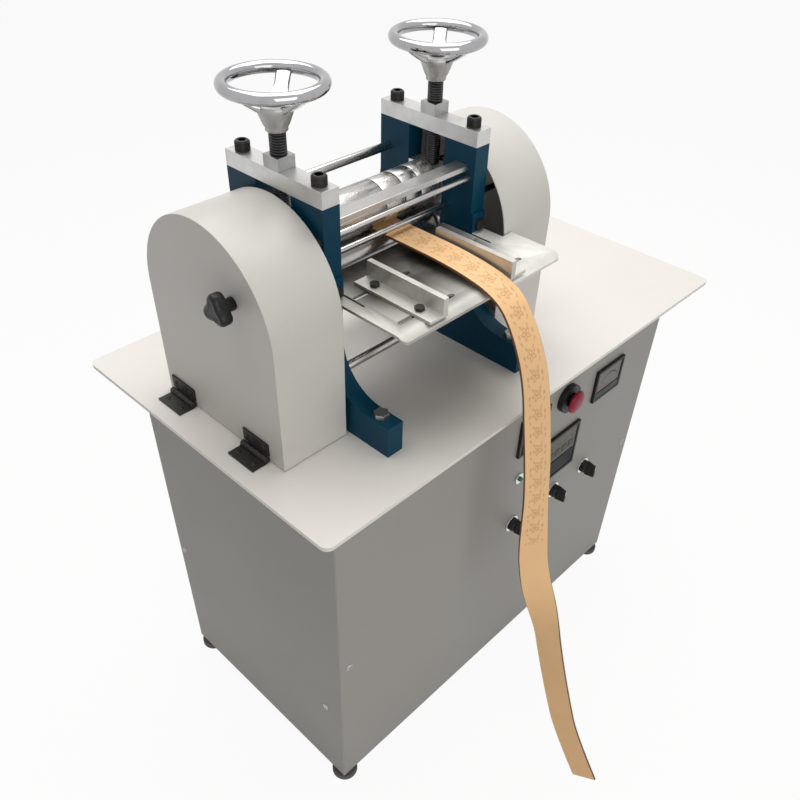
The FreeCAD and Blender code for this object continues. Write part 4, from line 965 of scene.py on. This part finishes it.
@dataclass
class Handwheel:
    """One chromed handwheel with three dished spokes."""

    shop: Workshop
    side: Side
    rim_radius: float = 0.0555
    rim_thick: float = 0.00695
    level: float = 406.0
    first_spoke: float = 38.0

    def build(self) -> None:
        """Spin the rim and hub and set the spokes between them."""
        mesh = bmesh.new()
        self._hub(mesh)
        paint(mesh.faces, 1)
        self._rim(mesh)
        for order in range(3):
            self._spoke(mesh, math.radians(self.first_spoke + 120 * order))
        place = from_head(self.side.value * FRAME_X, 0, self.level)
        bmesh.ops.translate(mesh, vec=place, verts=mesh.verts)
        name, body = self.side.word + "_handwheel", self.side.word + "_wheel"
        self.shop.piece(name + "_finished", mesh, body, [Finishes.CHROME, Finishes.HUB], [name], 50.0)

    def _rim(self, mesh: bmesh.types.BMesh) -> None:
        """A round rim."""
        made = bmesh.ops.create_circle(mesh, cap_ends=False, segments=28, radius=self.rim_thick)["verts"]
        bmesh.ops.rotate(mesh, cent=(0, 0, 0), matrix=Matrix.Rotation(math.pi / 2, 3, "X"), verts=made)
        bmesh.ops.translate(mesh, vec=(self.rim_radius, 0, 0), verts=made)
        edges = list({edge for vert in made for edge in vert.link_edges})
        bmesh.ops.spin(
            mesh, geom=made + edges, cent=(0, 0, 0), axis=(0, 0, 1), angle=math.tau, steps=96, use_merge=True)
        bmesh.ops.remove_doubles(mesh, verts=mesh.verts, dist=1e-6)

    def _hub(self, mesh: bmesh.types.BMesh) -> None:
        """A coned hub with a turned collar and a dished top."""
        low = -0.050
        outline = ((0.0081, 0), (0.0122, 0), (0.013, 0.0008), (0.013, 0.004), (0.0155, 0.008),
                   (0.0195, 0.018), (0.0215, 0.023), (0.0220, 0.0255), (0.0220, 0.0275), (0.0212, 0.0288),
                   (0.0118, 0.029), (0.0081, 0.029), (0.0081, 0))
        lathe(mesh, [(radius, low + height) for radius, height in outline], 72)

    @staticmethod
    def _spoke(mesh: bmesh.types.BMesh, angle: float) -> None:
        """A wide spoke that dishes up from the hub into the rim."""
        stations = ((0.013, -0.0265, 0.0102, 0.0042), (0.024, -0.0225, 0.0096, 0.0034),
                    (0.036, -0.0150, 0.0088, 0.0030), (0.047, -0.0065, 0.0088, 0.0030),
                    (0.0535, -0.0015, 0.0094, 0.0036))
        bar = bmesh.new()
        bmesh.ops.create_cube(bar, size=1)
        along = [edge for edge in bar.edges if abs((edge.verts[0].co - edge.verts[1].co).x) > 0.5]
        bmesh.ops.subdivide_edges(bar, edges=along, cuts=len(stations) - 2, use_grid_fill=True)
        for vert in bar.verts:
            reach, height, half_width, half_thick = stations[round((vert.co.x + 0.5) * (len(stations) - 1))]
            vert.co = Vector((reach, 2 * vert.co.y * half_width, height + 2 * vert.co.z * half_thick))
        long_edges = [
            edge for edge in bar.edges
            if abs((edge.verts[0].co - edge.verts[1].co).x) > 0.004 and edge.calc_face_angle(0) > 0.8]
        bevel(bar, long_edges, 0.0022, 3)
        bmesh.ops.rotate(bar, cent=(0, 0, 0), matrix=Matrix.Rotation(angle, 3, "Z"), verts=bar.verts)
        join(mesh, bar)


@dataclass
class Head:
    """The side frames with their plates, screws, rods, blocks and springs."""

    shop: Workshop
    plain: dict[str, tuple[Finish, float]] = field(default_factory=lambda: {
        "left_frame": (Finishes.ENAMEL, 0.0016), "right_frame": (Finishes.ENAMEL, 0.0016),
        "top_plates": (Finishes.STEEL_Y, 0.0009), "screw_nuts": (Finishes.BOLT, 0.0008),
        "tie_rods": (Finishes.STEEL_X, 0.0005),
        "guard_bar": (Finishes.STEEL_X, 0.0006), "upper_bearing_blocks": (Finishes.STEEL_Y, 0.0008),
        "lower_bearing_blocks": (Finishes.STEEL_Y, 0.0008), "return_springs": (Finishes.WIRE, 0.0),
        "left_lift_screw": (Finishes.LEFT_SCREW, 0.0004), "right_lift_screw": (Finishes.RIGHT_SCREW, 0.0004),
    })
    cap_spread: float = 68.0
    cap_head: float = 0.009
    plate_top: float = 315.0
    tab_bolts: float = 0.150

    def build(self) -> None:
        """Dress the machined pieces and turn the socket screws."""
        for node, (finish, edge) in self.plain.items():
            self.shop.carried(node, finish, edge)
        bolts = self.shop.carried("hex_fasteners", Finishes.BOLT, 0.0007).data
        bolts.materials.append(Finishes.material(Finishes.BLACK))
        paint((face for face in bolts.polygons if face.center.z > TABLE_Z + self.tab_bolts), 1)
        mesh = bmesh.new()
        for side in Side:
            for end in (-1, 1):
                self._cap_screw(mesh, from_head(side.value * FRAME_X, end * self.cap_spread, self.plate_top))
        self.shop.piece("cap_screws_finished", mesh, "machine", [Finishes.BLACK], ["cap_screws"])

    def _cap_screw(self, mesh: bmesh.types.BMesh, foot: Vector) -> None:
        """A knurled head with a hexagon socket, over its shank."""
        radius = self.cap_head
        profile = [(0, -0.050), (0.006, -0.050), (0.006, -0.0001), (radius, 0), (radius, 0.0102),
                   (radius - 0.0005, 0.0112), (radius - 0.0014, 0.012), (0.0066, 0.012)]
        cap = bmesh.new()
        lathe(cap, profile, 72)
        ridges = []
        for face in cap.faces:
            middle = face.calc_center_median()
            if abs(face.normal.z) < 0.1 and 0 < middle.z < 0.010:
                if round(math.degrees(math.atan2(*middle.xy)) / 5) % 2:
                    ridges.append(face)
        bmesh.ops.inset_individual(cap, faces=ridges, thickness=0.00008, depth=-0.00035, use_even_offset=True)
        rim = [edge for edge in cap.edges if edge.is_boundary]
        socket = bmesh.ops.create_circle(cap, cap_ends=True, segments=6, radius=0.0055)["verts"]
        bmesh.ops.translate(cap, vec=(0, 0, 0.012), verts=socket)
        floor = next(face for vert in socket for face in vert.link_faces)
        ring = list(floor.edges)
        bmesh.ops.bridge_loops(cap, edges=rim + ring)
        drop = bmesh.ops.extrude_face_region(cap, geom=[floor])["geom"]
        low = [item for item in drop if isinstance(item, bmesh.types.BMVert)]
        bmesh.ops.translate(cap, vec=(0, 0, -0.006), verts=low)
        bmesh.ops.delete(cap, geom=[floor], context="FACES_ONLY")
        bmesh.ops.translate(cap, vec=foot, verts=cap.verts)
        join(mesh, cap)


@dataclass
class Rollers:
    """The two rollers with their rings, gears, belt drive, motor and heater contacts."""

    shop: Workshop
    plain: dict[str, tuple[Finish, float]] = field(default_factory=lambda: {
        "upper_shaft": (Finishes.STEEL_X, 0.0008), "lower_roller": (Finishes.STEEL_X, 0.0008),
        "plain_rings": (Finishes.STEEL_X, 0.0006), "die_rings": (Finishes.DIE, 0.0006),
        "upper_gear": (Finishes.GEAR, 0.0003), "lower_gear": (Finishes.GEAR, 0.0003),
        "drive_pulley": (Finishes.GEAR, 0.0005), "motor_pulley": (Finishes.GEAR, 0.0005),
        "drive_belt": (Finishes.BELT, 0.0003), "gear_motor": (Finishes.MOTOR, 0.0009),
        "slip_rings": (Finishes.BRASS, 0.0003), "brush_holder": (Finishes.BLACK_PLASTIC, 0.0006),
    })

    def build(self) -> None:
        """Dress the turned pieces."""
        for node, (finish, edge) in self.plain.items():
            self.shop.carried(node, finish, edge)


@dataclass
class GuideWork:
    """The bright guide plate and the two guides with their screws."""

    shop: Workshop
    plain: dict[str, tuple[Finish, float]] = field(default_factory=lambda: {
        "left_guide": (Finishes.ALUMINIUM, 0.0008),
        "right_guide": (Finishes.ALUMINIUM, 0.0008), "left_guide_screws": (Finishes.BLACK, 0.0006),
        "right_guide_screws": (Finishes.BLACK, 0.0006),
    })
    tab_foot: float = 0.1815
    plate_top: float = 0.180
    film: float = 0.00003

    def build(self) -> None:
        """Dress the plate, the guides and the screws."""
        for node, (finish, edge) in self.plain.items():
            made = self.shop.carried(node, finish, edge)
            if node in ("left_guide", "right_guide"):
                self._lift_foot(made.data)
        plate = self.shop.carried("guide_plate", Finishes.PLATE, 0.0005).data
        plate.materials.append(Finishes.material(Finishes.ENAMEL))
        paint((face for face in plate.polygons if face.center.z > TABLE_Z + self.tab_foot), 1)

    def _lift_foot(self, data: bpy.types.Mesh) -> None:
        """Leave an oil film between a guide and the plate, so that they slide without touching."""
        for vert in data.vertices:
            if vert.co.z < TABLE_Z + self.plate_top + self.film:
                vert.co.z += self.film


@dataclass
class Covers:
    """The arched covers with their hinges and three-lobed knobs."""

    shop: Workshop
    face: float = 255.0
    leaf: float = 2.5
    hinges: tuple[float, float] = (86.0, -70.0)
    screw_offsets: tuple[float, float] = (-16.0, 16.0)
    screw_radius: float = 0.0034
    base_screws: float = 19.0
    leaf_screws: float = 20.0
    knob: tuple[float, float] = (-57.0, 213.0)

    def build(self) -> None:
        """Dress the shells and hinges, then add screws and knobs."""
        self.shop.carried("cover_hinge_bases", Finishes.BLACK, 0.0006)
        table_screws = bmesh.new()
        for side in Side:
            self.shop.carried(side.word + "_cover", Finishes.COVER, 0.0007, 24.0)
            self.shop.carried(side.word + "_cover_leaves", Finishes.BLACK, 0.0006)
            self._leaf_screws(side)
            self._knob(side)
            for hinge in self.hinges:
                for offset in self.screw_offsets:
                    spot = from_head(side.value * (self.face + self.base_screws), hinge + offset, self.leaf)
                    slotted_head(table_screws, spot, Vector((0, 0, 1)), self.screw_radius)
        self.shop.piece("hinge_base_screws", table_screws, "machine", [Finishes.BLACK])

    def _leaf_screws(self, side: Side) -> None:
        """The screws that hold the moving leaves."""
        mesh = bmesh.new()
        for hinge in self.hinges:
            for offset in self.screw_offsets:
                spot = from_head(side.value * (self.face + self.leaf), hinge + offset, self.leaf_screws)
                slotted_head(mesh, spot, Vector((side.value, 0, 0)), self.screw_radius)
        self.shop.piece(side.word + "_leaf_screws", mesh, side.word + "_door", [Finishes.BLACK])

    def _knob(self, side: Side) -> None:
        """A moulded knob with three round lobes and a pressed-in boss, on its long screw."""
        mesh = bmesh.new()
        lobes = bmesh.ops.create_circle(mesh, cap_ends=True, segments=72, radius=1)["verts"]
        for vert in lobes:
            angle = math.atan2(vert.co.y, vert.co.x)
            reach = 0.0170 + 0.0038 * math.cos(3 * (angle - math.pi / 2))
            vert.co = Vector((reach * math.cos(angle), reach * math.sin(angle), 0))
        front = bmesh.ops.extrude_face_region(mesh, geom=list(mesh.faces))["geom"]
        raised = [item for item in front if isinstance(item, bmesh.types.BMVert)]
        bmesh.ops.translate(mesh, vec=(0, 0, 0.017), verts=raised)
        bmesh.ops.recalc_face_normals(mesh, faces=mesh.faces)
        rims = [edge for edge in mesh.edges if edge.calc_face_angle(0) > 1.2]
        bevel(mesh, rims, 0.0052, 5, clamp=True)
        front_face = max(mesh.faces, key=lambda face: (face.calc_center_median().z, face.calc_area()))
        bmesh.ops.inset_region(mesh, faces=[front_face], thickness=0.003, depth=-0.0008)
        bmesh.ops.translate(mesh, vec=(0, 0, 0.0123), verts=mesh.verts)
        boss = [(0, 0.0003), (0.0078, 0.0003), (0.008, 0.0006), (0.008, 0.011), (0.0095, 0.0125), (0, 0.0128)]
        lathe(mesh, boss, 40)
        screw = [(0, -0.1120), (0.0034, -0.1120), (0.004, -0.1114), (0.004, 0.0002), (0, 0.0002)]
        lathe(mesh, screw, 32)
        spread = Matrix(((0, 0, side.value), (1, 0, 0), (0, 1, 0))).to_4x4()
        place = Matrix.Translation(from_head(side.value * self.face, *self.knob)) @ spread
        bmesh.ops.transform(mesh, matrix=place, verts=mesh.verts)
        name = side.word + "_cover_knob"
        self.shop.piece(name + "_finished", mesh, side.word + "_door_knob", [Finishes.KNOB], [name], 40.0)


@dataclass
class ControlPanel:
    """The controls and instruments on the cabinet's front."""

    shop: Workshop
    selectors: dict[str, tuple[float, str]] = field(default_factory=lambda: {
        "left_selector": (0.011, "left_switch"), "middle_selector": (0.130, "middle_switch"),
        "right_selector": (0.223, "right_switch")})
    selector_drop: float = 0.320
    stop: tuple[float, float] = (0.116, 0.104)
    start: tuple[float, float] = (0.011, 0.214)
    meter: tuple[float, float, float, float] = (0.240, 0.130, 0.080, 0.064)
    controller: tuple[float, float, float, float] = (0.125, 0.228, 0.096, 0.096)
    counter: tuple[float, float, float, float] = (0.030, 0.124, 0.072, 0.072)
    rim: float = 0.005
    stop_ring: float = 0.026
    meter_ticks: int = 21
    meter_zero: float = -50.0
    scale_radius: float = 0.0315

    def build(self) -> None:
        """Dress the bezels and build each control over them."""
        bezels = self.shop.carried("control_bezels", Finishes.BEZEL, 0.0008).data
        bezels.materials.append(Finishes.material(Finishes.BLACK_PLASTIC))
        across, drop = self.stop
        for face in bezels.polygons:
            aside, above = abs(face.center.x - across), abs(face.center.z - TABLE_Z + drop)
            if max(aside, above) < self.stop_ring:
                face.material_index = 1
        self.shop.carried("panel_meter", Finishes.BLACK_PLASTIC, 0.0007)
        self.shop.carried("panel_controllers", Finishes.BLACK_PLASTIC, 0.0007)
        for name, (across, body) in self.selectors.items():
            self._selector(name, across, body)
        self._stop_button()
        self._start_button()
        self._meter()
        self._instrument("controller", self.controller, 4, 4)
        self._instrument("counter", self.counter, 6, 3)

    def _outward(self, across: float, drop: float) -> Matrix:
        """The place of a turned control whose Z runs out of the panel."""
        return Matrix.Translation((across, PANEL_Y, TABLE_Z - drop)) @ Matrix.Rotation(math.pi / 2, 4, "X")

    def _selector(self, name: str, across: float, body: str) -> None:
        """A turned knob with a tapered lever and a white mark."""
        mesh = bmesh.new()
        profile = [(0, -0.009), (0.007, -0.009), (0.007, 0.0045), (0.0114, 0.0045), (0.0120, 0.0052),
                   (0.0120, 0.0095), (0.0114, 0.0120), (0.0100, 0.013), (0, 0.013)]
        lathe(mesh, profile, 72)
        lever = bmesh.new()
        block(lever, (-0.004, -0.015, 0.0110), (0.004, 0.015, 0.030))
        for vert in lever.verts:
            if vert.co.z > 0.02:
                vert.co.x *= 0.62
                vert.co.y *= 0.86
        round_edges(lever, 0.0016, 30, 3)
        mark = bmesh.new()
        block(mark, (-0.0009, 0.0030, 0.0298), (0.0009, 0.0125, 0.03005))
        paint(mark.faces, 1)
        join(mesh, lever)
        join(mesh, mark)
        bmesh.ops.transform(mesh, matrix=self._outward(across, self.selector_drop), verts=mesh.verts)
        self.shop.piece(name + "_finished", mesh, body, [Finishes.BLACK_PLASTIC, Finishes.MARK], [name])

    def _stop_button(self) -> None:
        """The mushroom head on its collar and stem."""
        mesh = bmesh.new()
        collar = [(0, -0.004), (0.007, -0.004), (0.007, 0.0119), (0.0106, 0.0120), (0.0110, 0.0124),
                  (0.0110, 0.0168), (0, 0.0168)]
        lathe(mesh, collar, 72)
        paint(mesh.faces, 1)
        dome = [(0, 0.0166), (0.0150, 0.0166), (0.0184, 0.0171), (0.0197, 0.0182), (0.0200, 0.0197),
                (0.0194, 0.0213), (0.0176, 0.0230), (0.0146, 0.0244), (0.0106, 0.0253), (0.0056, 0.0258),
                (0, 0.026)]
        lathe(mesh, dome, 72)
        bmesh.ops.transform(mesh, matrix=self._outward(*self.stop), verts=mesh.verts)
        self.shop.piece(
            "stop_button_finished", mesh, "stop", [Finishes.RED, Finishes.BLACK_PLASTIC], ["stop_button"])

    def _start_button(self) -> None:
        """A small flush button with a dished face."""
        mesh = bmesh.new()
        profile = [(0, -0.006), (0.004, -0.006), (0.004, 0.0068), (0.0036, 0.0076), (0.0028, 0.008),
                   (0.0015, 0.0077), (0, 0.0076)]
        lathe(mesh, profile, 40)
        bmesh.ops.transform(mesh, matrix=self._outward(*self.start), verts=mesh.verts)
        self.shop.piece("start_button_finished", mesh, "start", [Finishes.GREEN], ["start_button"])

    def _face(
        self, mesh: bmesh.types.BMesh, kind: tuple[float, float, float, float], low: tuple[float, float],
        high: tuple[float, float], depth: tuple[float, float], material: int = 0,
    ) -> None:
        """Add a block on an instrument's face.

        Args:
            mesh: the mesh that it joins.
            kind: the instrument's place across and down, its width and its height.
            low: the block's lowest corner, from -1 to 1 over the window.
            high: its highest corner, in the same way.
            depth: how far its back and its front stand out of the panel.
            material: which of the piece's finishes it has.
        """
        across, drop, width, height = kind
        half_width, half_height = width / 2 - self.rim, height / 2 - self.rim
        shape = bmesh.new()
        middle = TABLE_Z - drop
        block(shape, (across + low[0] * half_width, PANEL_Y - depth[1], middle + low[1] * half_height),
              (across + high[0] * half_width, PANEL_Y - depth[0], middle + high[1] * half_height))
        round_edges(shape, min(0.0003, (depth[1] - depth[0]) * 0.3), 30, 1)
        paint(shape.faces, material)
        join(mesh, shape)

    def _meter(self) -> None:
        """A dial card with a scale, a pointer on its hub and a lower cover."""
        mesh = bmesh.new()
        self._face(mesh, self.meter, (-0.97, -0.97), (0.97, 0.97), (0.0040, 0.0043))
        self._face(mesh, self.meter, (-0.97, -0.97), (0.97, -0.52), (0.0042, 0.0056), 1)
        across, drop, width, height = self.meter
        pivot = Vector((across, PANEL_Y - 0.0044, TABLE_Z - drop - 0.55 * (height / 2 - self.rim)))
        for order in range(self.meter_ticks):
            tick = 0.0044 if order % 5 == 0 else 0.0026
            low, high = (-0.0003, -0.00015, self.scale_radius - tick), (0.0003, 0.00015, self.scale_radius)
            self._hand(mesh, pivot, self.meter_zero + 5 * order, low, high, 1)
        self._hand(mesh, pivot, self.meter_zero, (-0.0004, -0.0008, 0.0), (0.0004, -0.0003, 0.0290), 2)
        finishes = [Finishes.DIAL, Finishes.BLACK_PLASTIC, Finishes.RED]
        self.shop.piece("meter_dial", mesh, "machine", finishes)

    @staticmethod
    def _hand(
        mesh: bmesh.types.BMesh, pivot: Vector, degrees: float, low: Sequence[float], high: Sequence[float],
        material: int,
    ) -> None:
        """Add a bar that is turned about the meter's pivot.

        Args:
            mesh: the mesh that it joins.
            pivot: the centre of the scale.
            degrees: how far it is turned from upright.
            low: its lowest corner before the turn, from the pivot.
            high: its highest corner.
            material: which of the piece's finishes it has.
        """
        bar = bmesh.new()
        block(bar, low, high)
        turn = Matrix.Rotation(math.radians(degrees), 3, "Y")
        bmesh.ops.rotate(bar, cent=(0, 0, 0), matrix=turn, verts=bar.verts)
        bmesh.ops.translate(bar, vec=pivot, verts=bar.verts)
        paint(bar.faces, material)
        join(mesh, bar)

    def _instrument(self, name: str, kind: tuple[float, float, float, float], digits: int, keys: int) -> None:
        """A row of keys and lamps over a dark window with dim digits.

        Args:
            name: the instrument's name.
            kind: its place across and down, its width and its height.
            digits: how many digits stand in the window.
            keys: how many keys stand over it.
        """
        mesh = bmesh.new()
        self._face(mesh, kind, (-0.96, -0.96), (0.96, 0.96), (0.0040, 0.0044), 1)
        self._face(mesh, kind, (-0.90, -0.92), (0.90, -0.18), (0.0044, 0.0056), 0)
        for order in range(keys):
            middle = -0.88 + 1.76 * (order + 0.5) / keys
            reach = 0.62 / keys
            self._face(mesh, kind, (middle - reach, 0.02), (middle + reach, 0.34), (0.0044, 0.0054), 2)
            self._face(mesh, kind, (middle - 0.06, 0.52), (middle + 0.06, 0.60), (0.0044, 0.0050), 4)
        for order in range(digits):
            middle = (order - (digits - 1) / 2) * 1.5 / digits
            self._digit(mesh, kind, middle, (order * 3 + 2) % 10)
        finishes = [Finishes.WINDOW, Finishes.FACE, Finishes.KEY, Finishes.RED_LIT, Finishes.GREEN_LIT]
        self.shop.piece(name + "_display", mesh, "machine", finishes)

    def _digit(
        self, mesh: bmesh.types.BMesh, kind: tuple[float, float, float, float], across: float, number: int,
    ) -> None:
        """One seven-segment numeral.

        Args:
            mesh: the mesh that it joins.
            kind: the instrument's place across and down, its width and its height.
            across: the numeral's middle over the window, from -1 to 1.
            number: the numeral.
        """
        numerals = ("abcdef", "bc", "abged", "abgcd", "fgbc", "afgcd", "afgedc", "abc", "abcdefg", "abfgcd")
        middle, tall = -0.55, 0.24
        wide, bar = tall * 0.55, tall * 0.09
        strokes = {
            "a": ((-wide, tall - bar), (wide, tall + bar)),
            "b": ((wide - bar, bar), (wide + bar, tall - bar)),
            "c": ((wide - bar, -tall + bar), (wide + bar, -bar)),
            "d": ((-wide, -tall - bar), (wide, -tall + bar)),
            "e": ((-wide - bar, -tall + bar), (-wide + bar, -bar)),
            "f": ((-wide - bar, bar), (-wide + bar, tall - bar)),
            "g": ((-wide, -bar), (wide, bar)),
        }
        for stroke in numerals[number]:
            low, high = strokes[stroke]
            self._face(mesh, kind, (across + low[0], middle + low[1]), (across + high[0], middle + high[1]),
                       (0.0051, 0.0054), 3)


@dataclass
class Strap:
    """The embossed leather strap, bent along its route out of the rollers and down in front."""

    shop: Workshop
    across: float = 30.0
    width: float = 0.046
    thick: float = 0.0034
    length: float = 1.155
    steps: int = 340
    turns: tuple[tuple[float, float, float], ...] = ((0.25, 0.40, 12), (0.49, 0.60, 18), (0.60, 0.74, 55))

    def build(self) -> None:
        path = self._path()
        reach = [0.0]
        for before, after in zip(path, path[1:]):
            reach.append(reach[-1] + (after - before).length)
        mesh = self._flat(reach[-1])
        self._bend(mesh, path, reach)
        made = self.shop.piece(
            "leather_strap_finished", mesh, "machine", [Finishes.GRAIN, Finishes.FLESH, Finishes.EDGE],
            ["leather_strap"], 70.0, False)

    def _path(self) -> list[Vector]:
        """Points read from the route's smooth spline."""
        curve = bpy.data.curves.new("strap_route", "CURVE")
        curve.dimensions = "3D"
        curve.resolution_u = 24
        spline = curve.splines.new("NURBS")
        spline.points.add(len(STRAP_ROUTE) - 1)
        for point, (y, z) in zip(spline.points, STRAP_ROUTE):
            point.co = (*from_head(self.across, y, z), 1)
        spline.order_u = 3
        spline.use_endpoint_u = True
        holder = bpy.data.objects.new("strap_route", curve)
        line = bpy.data.meshes.new_from_object(holder)
        path = [vert.co.copy() for vert in line.vertices]
        bpy.data.objects.remove(holder)
        bpy.data.curves.remove(curve)
        bpy.data.meshes.remove(line)
        return path

    def _flat(self, length: float) -> bmesh.types.BMesh:
        """A flat strap with rounded long edges, mapped across and along."""
        mesh = bmesh.new()
        block(mesh, (-self.width / 2, 0, -self.thick / 2), (self.width / 2, length, self.thick / 2))
        crosswise = [edge for edge in mesh.edges if abs((edge.verts[0].co - edge.verts[1].co).x) > 0.01]
        bmesh.ops.subdivide_edges(mesh, edges=crosswise, cuts=7, use_grid_fill=True)
        lengthwise = [edge for edge in mesh.edges if abs((edge.verts[0].co - edge.verts[1].co).y) > 0.01]
        bmesh.ops.subdivide_edges(mesh, edges=lengthwise, cuts=self.steps, use_grid_fill=True)
        for face in mesh.faces:
            face.material_index = 2 if abs(face.normal.z) < 0.5 else (0 if face.normal.z > 0 else 1)
        corners = [edge for edge in mesh.edges if edge.calc_face_angle(0) > 0.8]
        bevel(mesh, corners, 0.0006, 2, material=2)
        bmesh.ops.recalc_face_normals(mesh, faces=mesh.faces)
        layer = mesh.loops.layers.uv.new("strap")
        for face in mesh.faces:
            for loop in face.loops:
                loop[layer].uv = (loop.vert.co.x / (self.width / 2), loop.vert.co.y)
        return mesh

    def _bend(self, mesh: bmesh.types.BMesh, path: list[Vector], reach: list[float]) -> None:
        """Carry each point of the flat strap onto the path, turned as the free end hangs.

        Args:
            mesh: the flat strap.
            path: the points of the middle line.
            reach: the distance along the line at each point.
        """
        rows: dict[float, tuple[Vector, Vector, Vector]] = {}
        for vert in mesh.verts:
            along = round(vert.co.y, 6)
            if along not in rows:
                rows[along] = self._frame(path, reach, along)
            middle, wide, up = rows[along]
            vert.co = middle + wide * vert.co.x + up * vert.co.z

    def _frame(self, path: list[Vector], reach: list[float], along: float) -> tuple[Vector, Vector, Vector]:
        """The middle of the strap and its two directions at a distance along it."""
        order = next((index for index, value in enumerate(reach) if value >= along), len(reach) - 1)
        order = max(order, 1)
        share = (along - reach[order - 1]) / (reach[order] - reach[order - 1])
        middle = path[order - 1].lerp(path[order], min(max(share, 0), 1))
        before, after = path[max(order - 2, 0)], path[min(order + 1, len(path) - 1)]
        ahead = (after - before).normalized()
        share = along / reach[-1]
        turn = 0.0
        for start, stop, degrees in self.turns:
            step = min(max((share - start) / (stop - start), 0), 1)
            turn += math.radians(degrees) * step * step * (3 - 2 * step)
        wide = Matrix.Rotation(turn, 3, ahead) @ Vector((-1, 0, 0))
        return middle, wide, wide.cross(ahead)


@dataclass
class Studio:
    """The floor, the lamps, the white background and the camera."""

    spot: tuple[float, float, float] = (-0.82683, -0.72426, 1.37047)
    right: tuple[float, float, float] = (0.69964244, -0.71422023, 0.01974662)
    up: tuple[float, float, float] = (0.47100259, 0.48181866, 0.73892309)
    forward: tuple[float, float, float] = (0.53726811, 0.50768124, -0.67350036)
    lens: float = 36.27
    shift: tuple[float, float] = (0.0063, 0.0795)
    ambient: float = 0.18
    floor_glow: float = 0.93

    def build(self) -> None:
        """Set up everything around the machine."""
        self._world()
        self._floor()
        self._lamp("overhead_softbox", (0.25, 0.40, 2.9), (0.0, 0.0, 0.7), 2.4, 58.0)
        self._lamp("front_fill", (-1.0, -2.7, 1.5), (0.0, 0.0, 0.5), 2.2, 27.0)
        self._camera()

    def _world(self) -> None:
        """White behind the machine and a dim, even light on it."""
        world = bpy.data.worlds.new("studio_world")
        bpy.context.scene.world = world
        world.use_nodes = True
        tree = world.node_tree
        tree.nodes.clear()
        path = tree.nodes.new("ShaderNodeLightPath")
        seen = tree.nodes.new("ShaderNodeMath")
        seen.operation = "MAXIMUM"
        tree.links.new(path.outputs["Is Camera Ray"], seen.inputs[0])
        tree.links.new(path.outputs["Is Glossy Ray"], seen.inputs[1])
        through = tree.nodes.new("ShaderNodeMath")
        through.operation = "MAXIMUM"
        tree.links.new(seen.outputs[0], through.inputs[0])
        tree.links.new(path.outputs["Is Transmission Ray"], through.inputs[1])
        dim, white = tree.nodes.new("ShaderNodeBackground"), tree.nodes.new("ShaderNodeBackground")
        dim.inputs["Color"].default_value = (1.0, 0.99, 0.975, 1)
        dim.inputs["Strength"].default_value = self.ambient
        white.inputs["Strength"].default_value = 1.0
        white.inputs["Color"].default_value = (1, 1, 1, 1)
        blend = tree.nodes.new("ShaderNodeMixShader")
        tree.links.new(through.outputs[0], blend.inputs[0])
        tree.links.new(dim.outputs[0], blend.inputs[1])
        tree.links.new(white.outputs[0], blend.inputs[2])
        out = tree.nodes.new("ShaderNodeOutputWorld")
        tree.links.new(blend.outputs[0], out.inputs[0])

    def _floor(self) -> None:
        """A plain pale floor."""
        mesh = bmesh.new()
        bmesh.ops.create_grid(mesh, x_segments=1, y_segments=1, size=6)
        data = bpy.data.meshes.new("studio_floor")
        mesh.to_mesh(data)
        mesh.free()
        floor = bpy.data.objects.new("studio_floor", data)
        bpy.context.scene.collection.objects.link(floor)
        graph = Graph("studio_floor_paint")
        paint = graph.node("ShaderNodeBsdfDiffuse", None, {"Color": (0.93, 0.93, 0.92, 1), "Roughness": 0.4})
        white = graph.node("ShaderNodeEmission", None, {"Color": (1, 1, 1, 1), "Strength": 1.0})
        seen = graph.node("ShaderNodeLightPath")
        kinds = ("Is Camera Ray", "Is Glossy Ray", "Is Transmission Ray")
        rays = [Value(graph, seen.outputs[kind]) for kind in kinds]
        share = graph.maths("MAXIMUM", graph.maths("MAXIMUM", rays[0], rays[1]), rays[2]) * self.floor_glow
        blend = graph.node("ShaderNodeMixShader", None, {
            0: share, 1: Value(graph, paint.outputs[0]), 2: Value(graph, white.outputs[0])})
        graph.node("ShaderNodeOutputMaterial", None, {"Surface": Value(graph, blend.outputs[0])})
        data.materials.append(graph.material)

    @staticmethod
    def _lamp(name: str, spot: Sequence[float], aim: Sequence[float], size: float, power: float) -> None:
        """Hang a square softbox.

        Args:
            name: the lamp's name.
            spot: where it hangs.
            aim: the point that it faces.
            size: the length of its side.
            power: its power in watts.
        """
        light = bpy.data.lights.new(name, "AREA")
        light.shape = "SQUARE"
        light.size = size
        light.energy = power
        light.color = (1.0, 0.985, 0.965)
        lamp = bpy.data.objects.new(name, light)
        turn = (Vector(aim) - Vector(spot)).to_track_quat("-Z", "Y").to_matrix().to_4x4()
        lamp.matrix_world = Matrix.Translation(spot) @ turn
        bpy.context.scene.collection.objects.link(lamp)

    def _camera(self) -> None:
        """Set the camera up at the photograph's angle."""
        data = bpy.data.cameras.new("view_camera")
        data.lens = self.lens
        data.sensor_width = 36
        data.shift_x, data.shift_y = self.shift
        camera = bpy.data.objects.new("view_camera", data)
        turn = Matrix((self.right, self.up, tuple(-part for part in self.forward))).transposed().to_4x4()
        camera.matrix_world = Matrix.Translation(self.spot) @ turn
        bpy.context.scene.collection.objects.link(camera)
        bpy.context.scene.camera = camera


def main() -> None:
    """Build the machine piece by piece and report each one."""
    logging.basicConfig(level=logging.INFO, format="%(message)s")
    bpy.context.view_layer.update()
    bpy.context.scene.view_settings.view_transform = "Standard"
    shop = Workshop(frame)
    Cabinet(shop).build()
    Head(shop).build()
    for side in Side:
        Handwheel(shop, side).build()
    Rollers(shop).build()
    GuideWork(shop).build()
    Covers(shop).build()
    ControlPanel(shop).build()
    Strap(shop).build()
    Studio().build()
    LOG.info("%d pieces", shop.count)


if __name__ == "__main__":
    main()
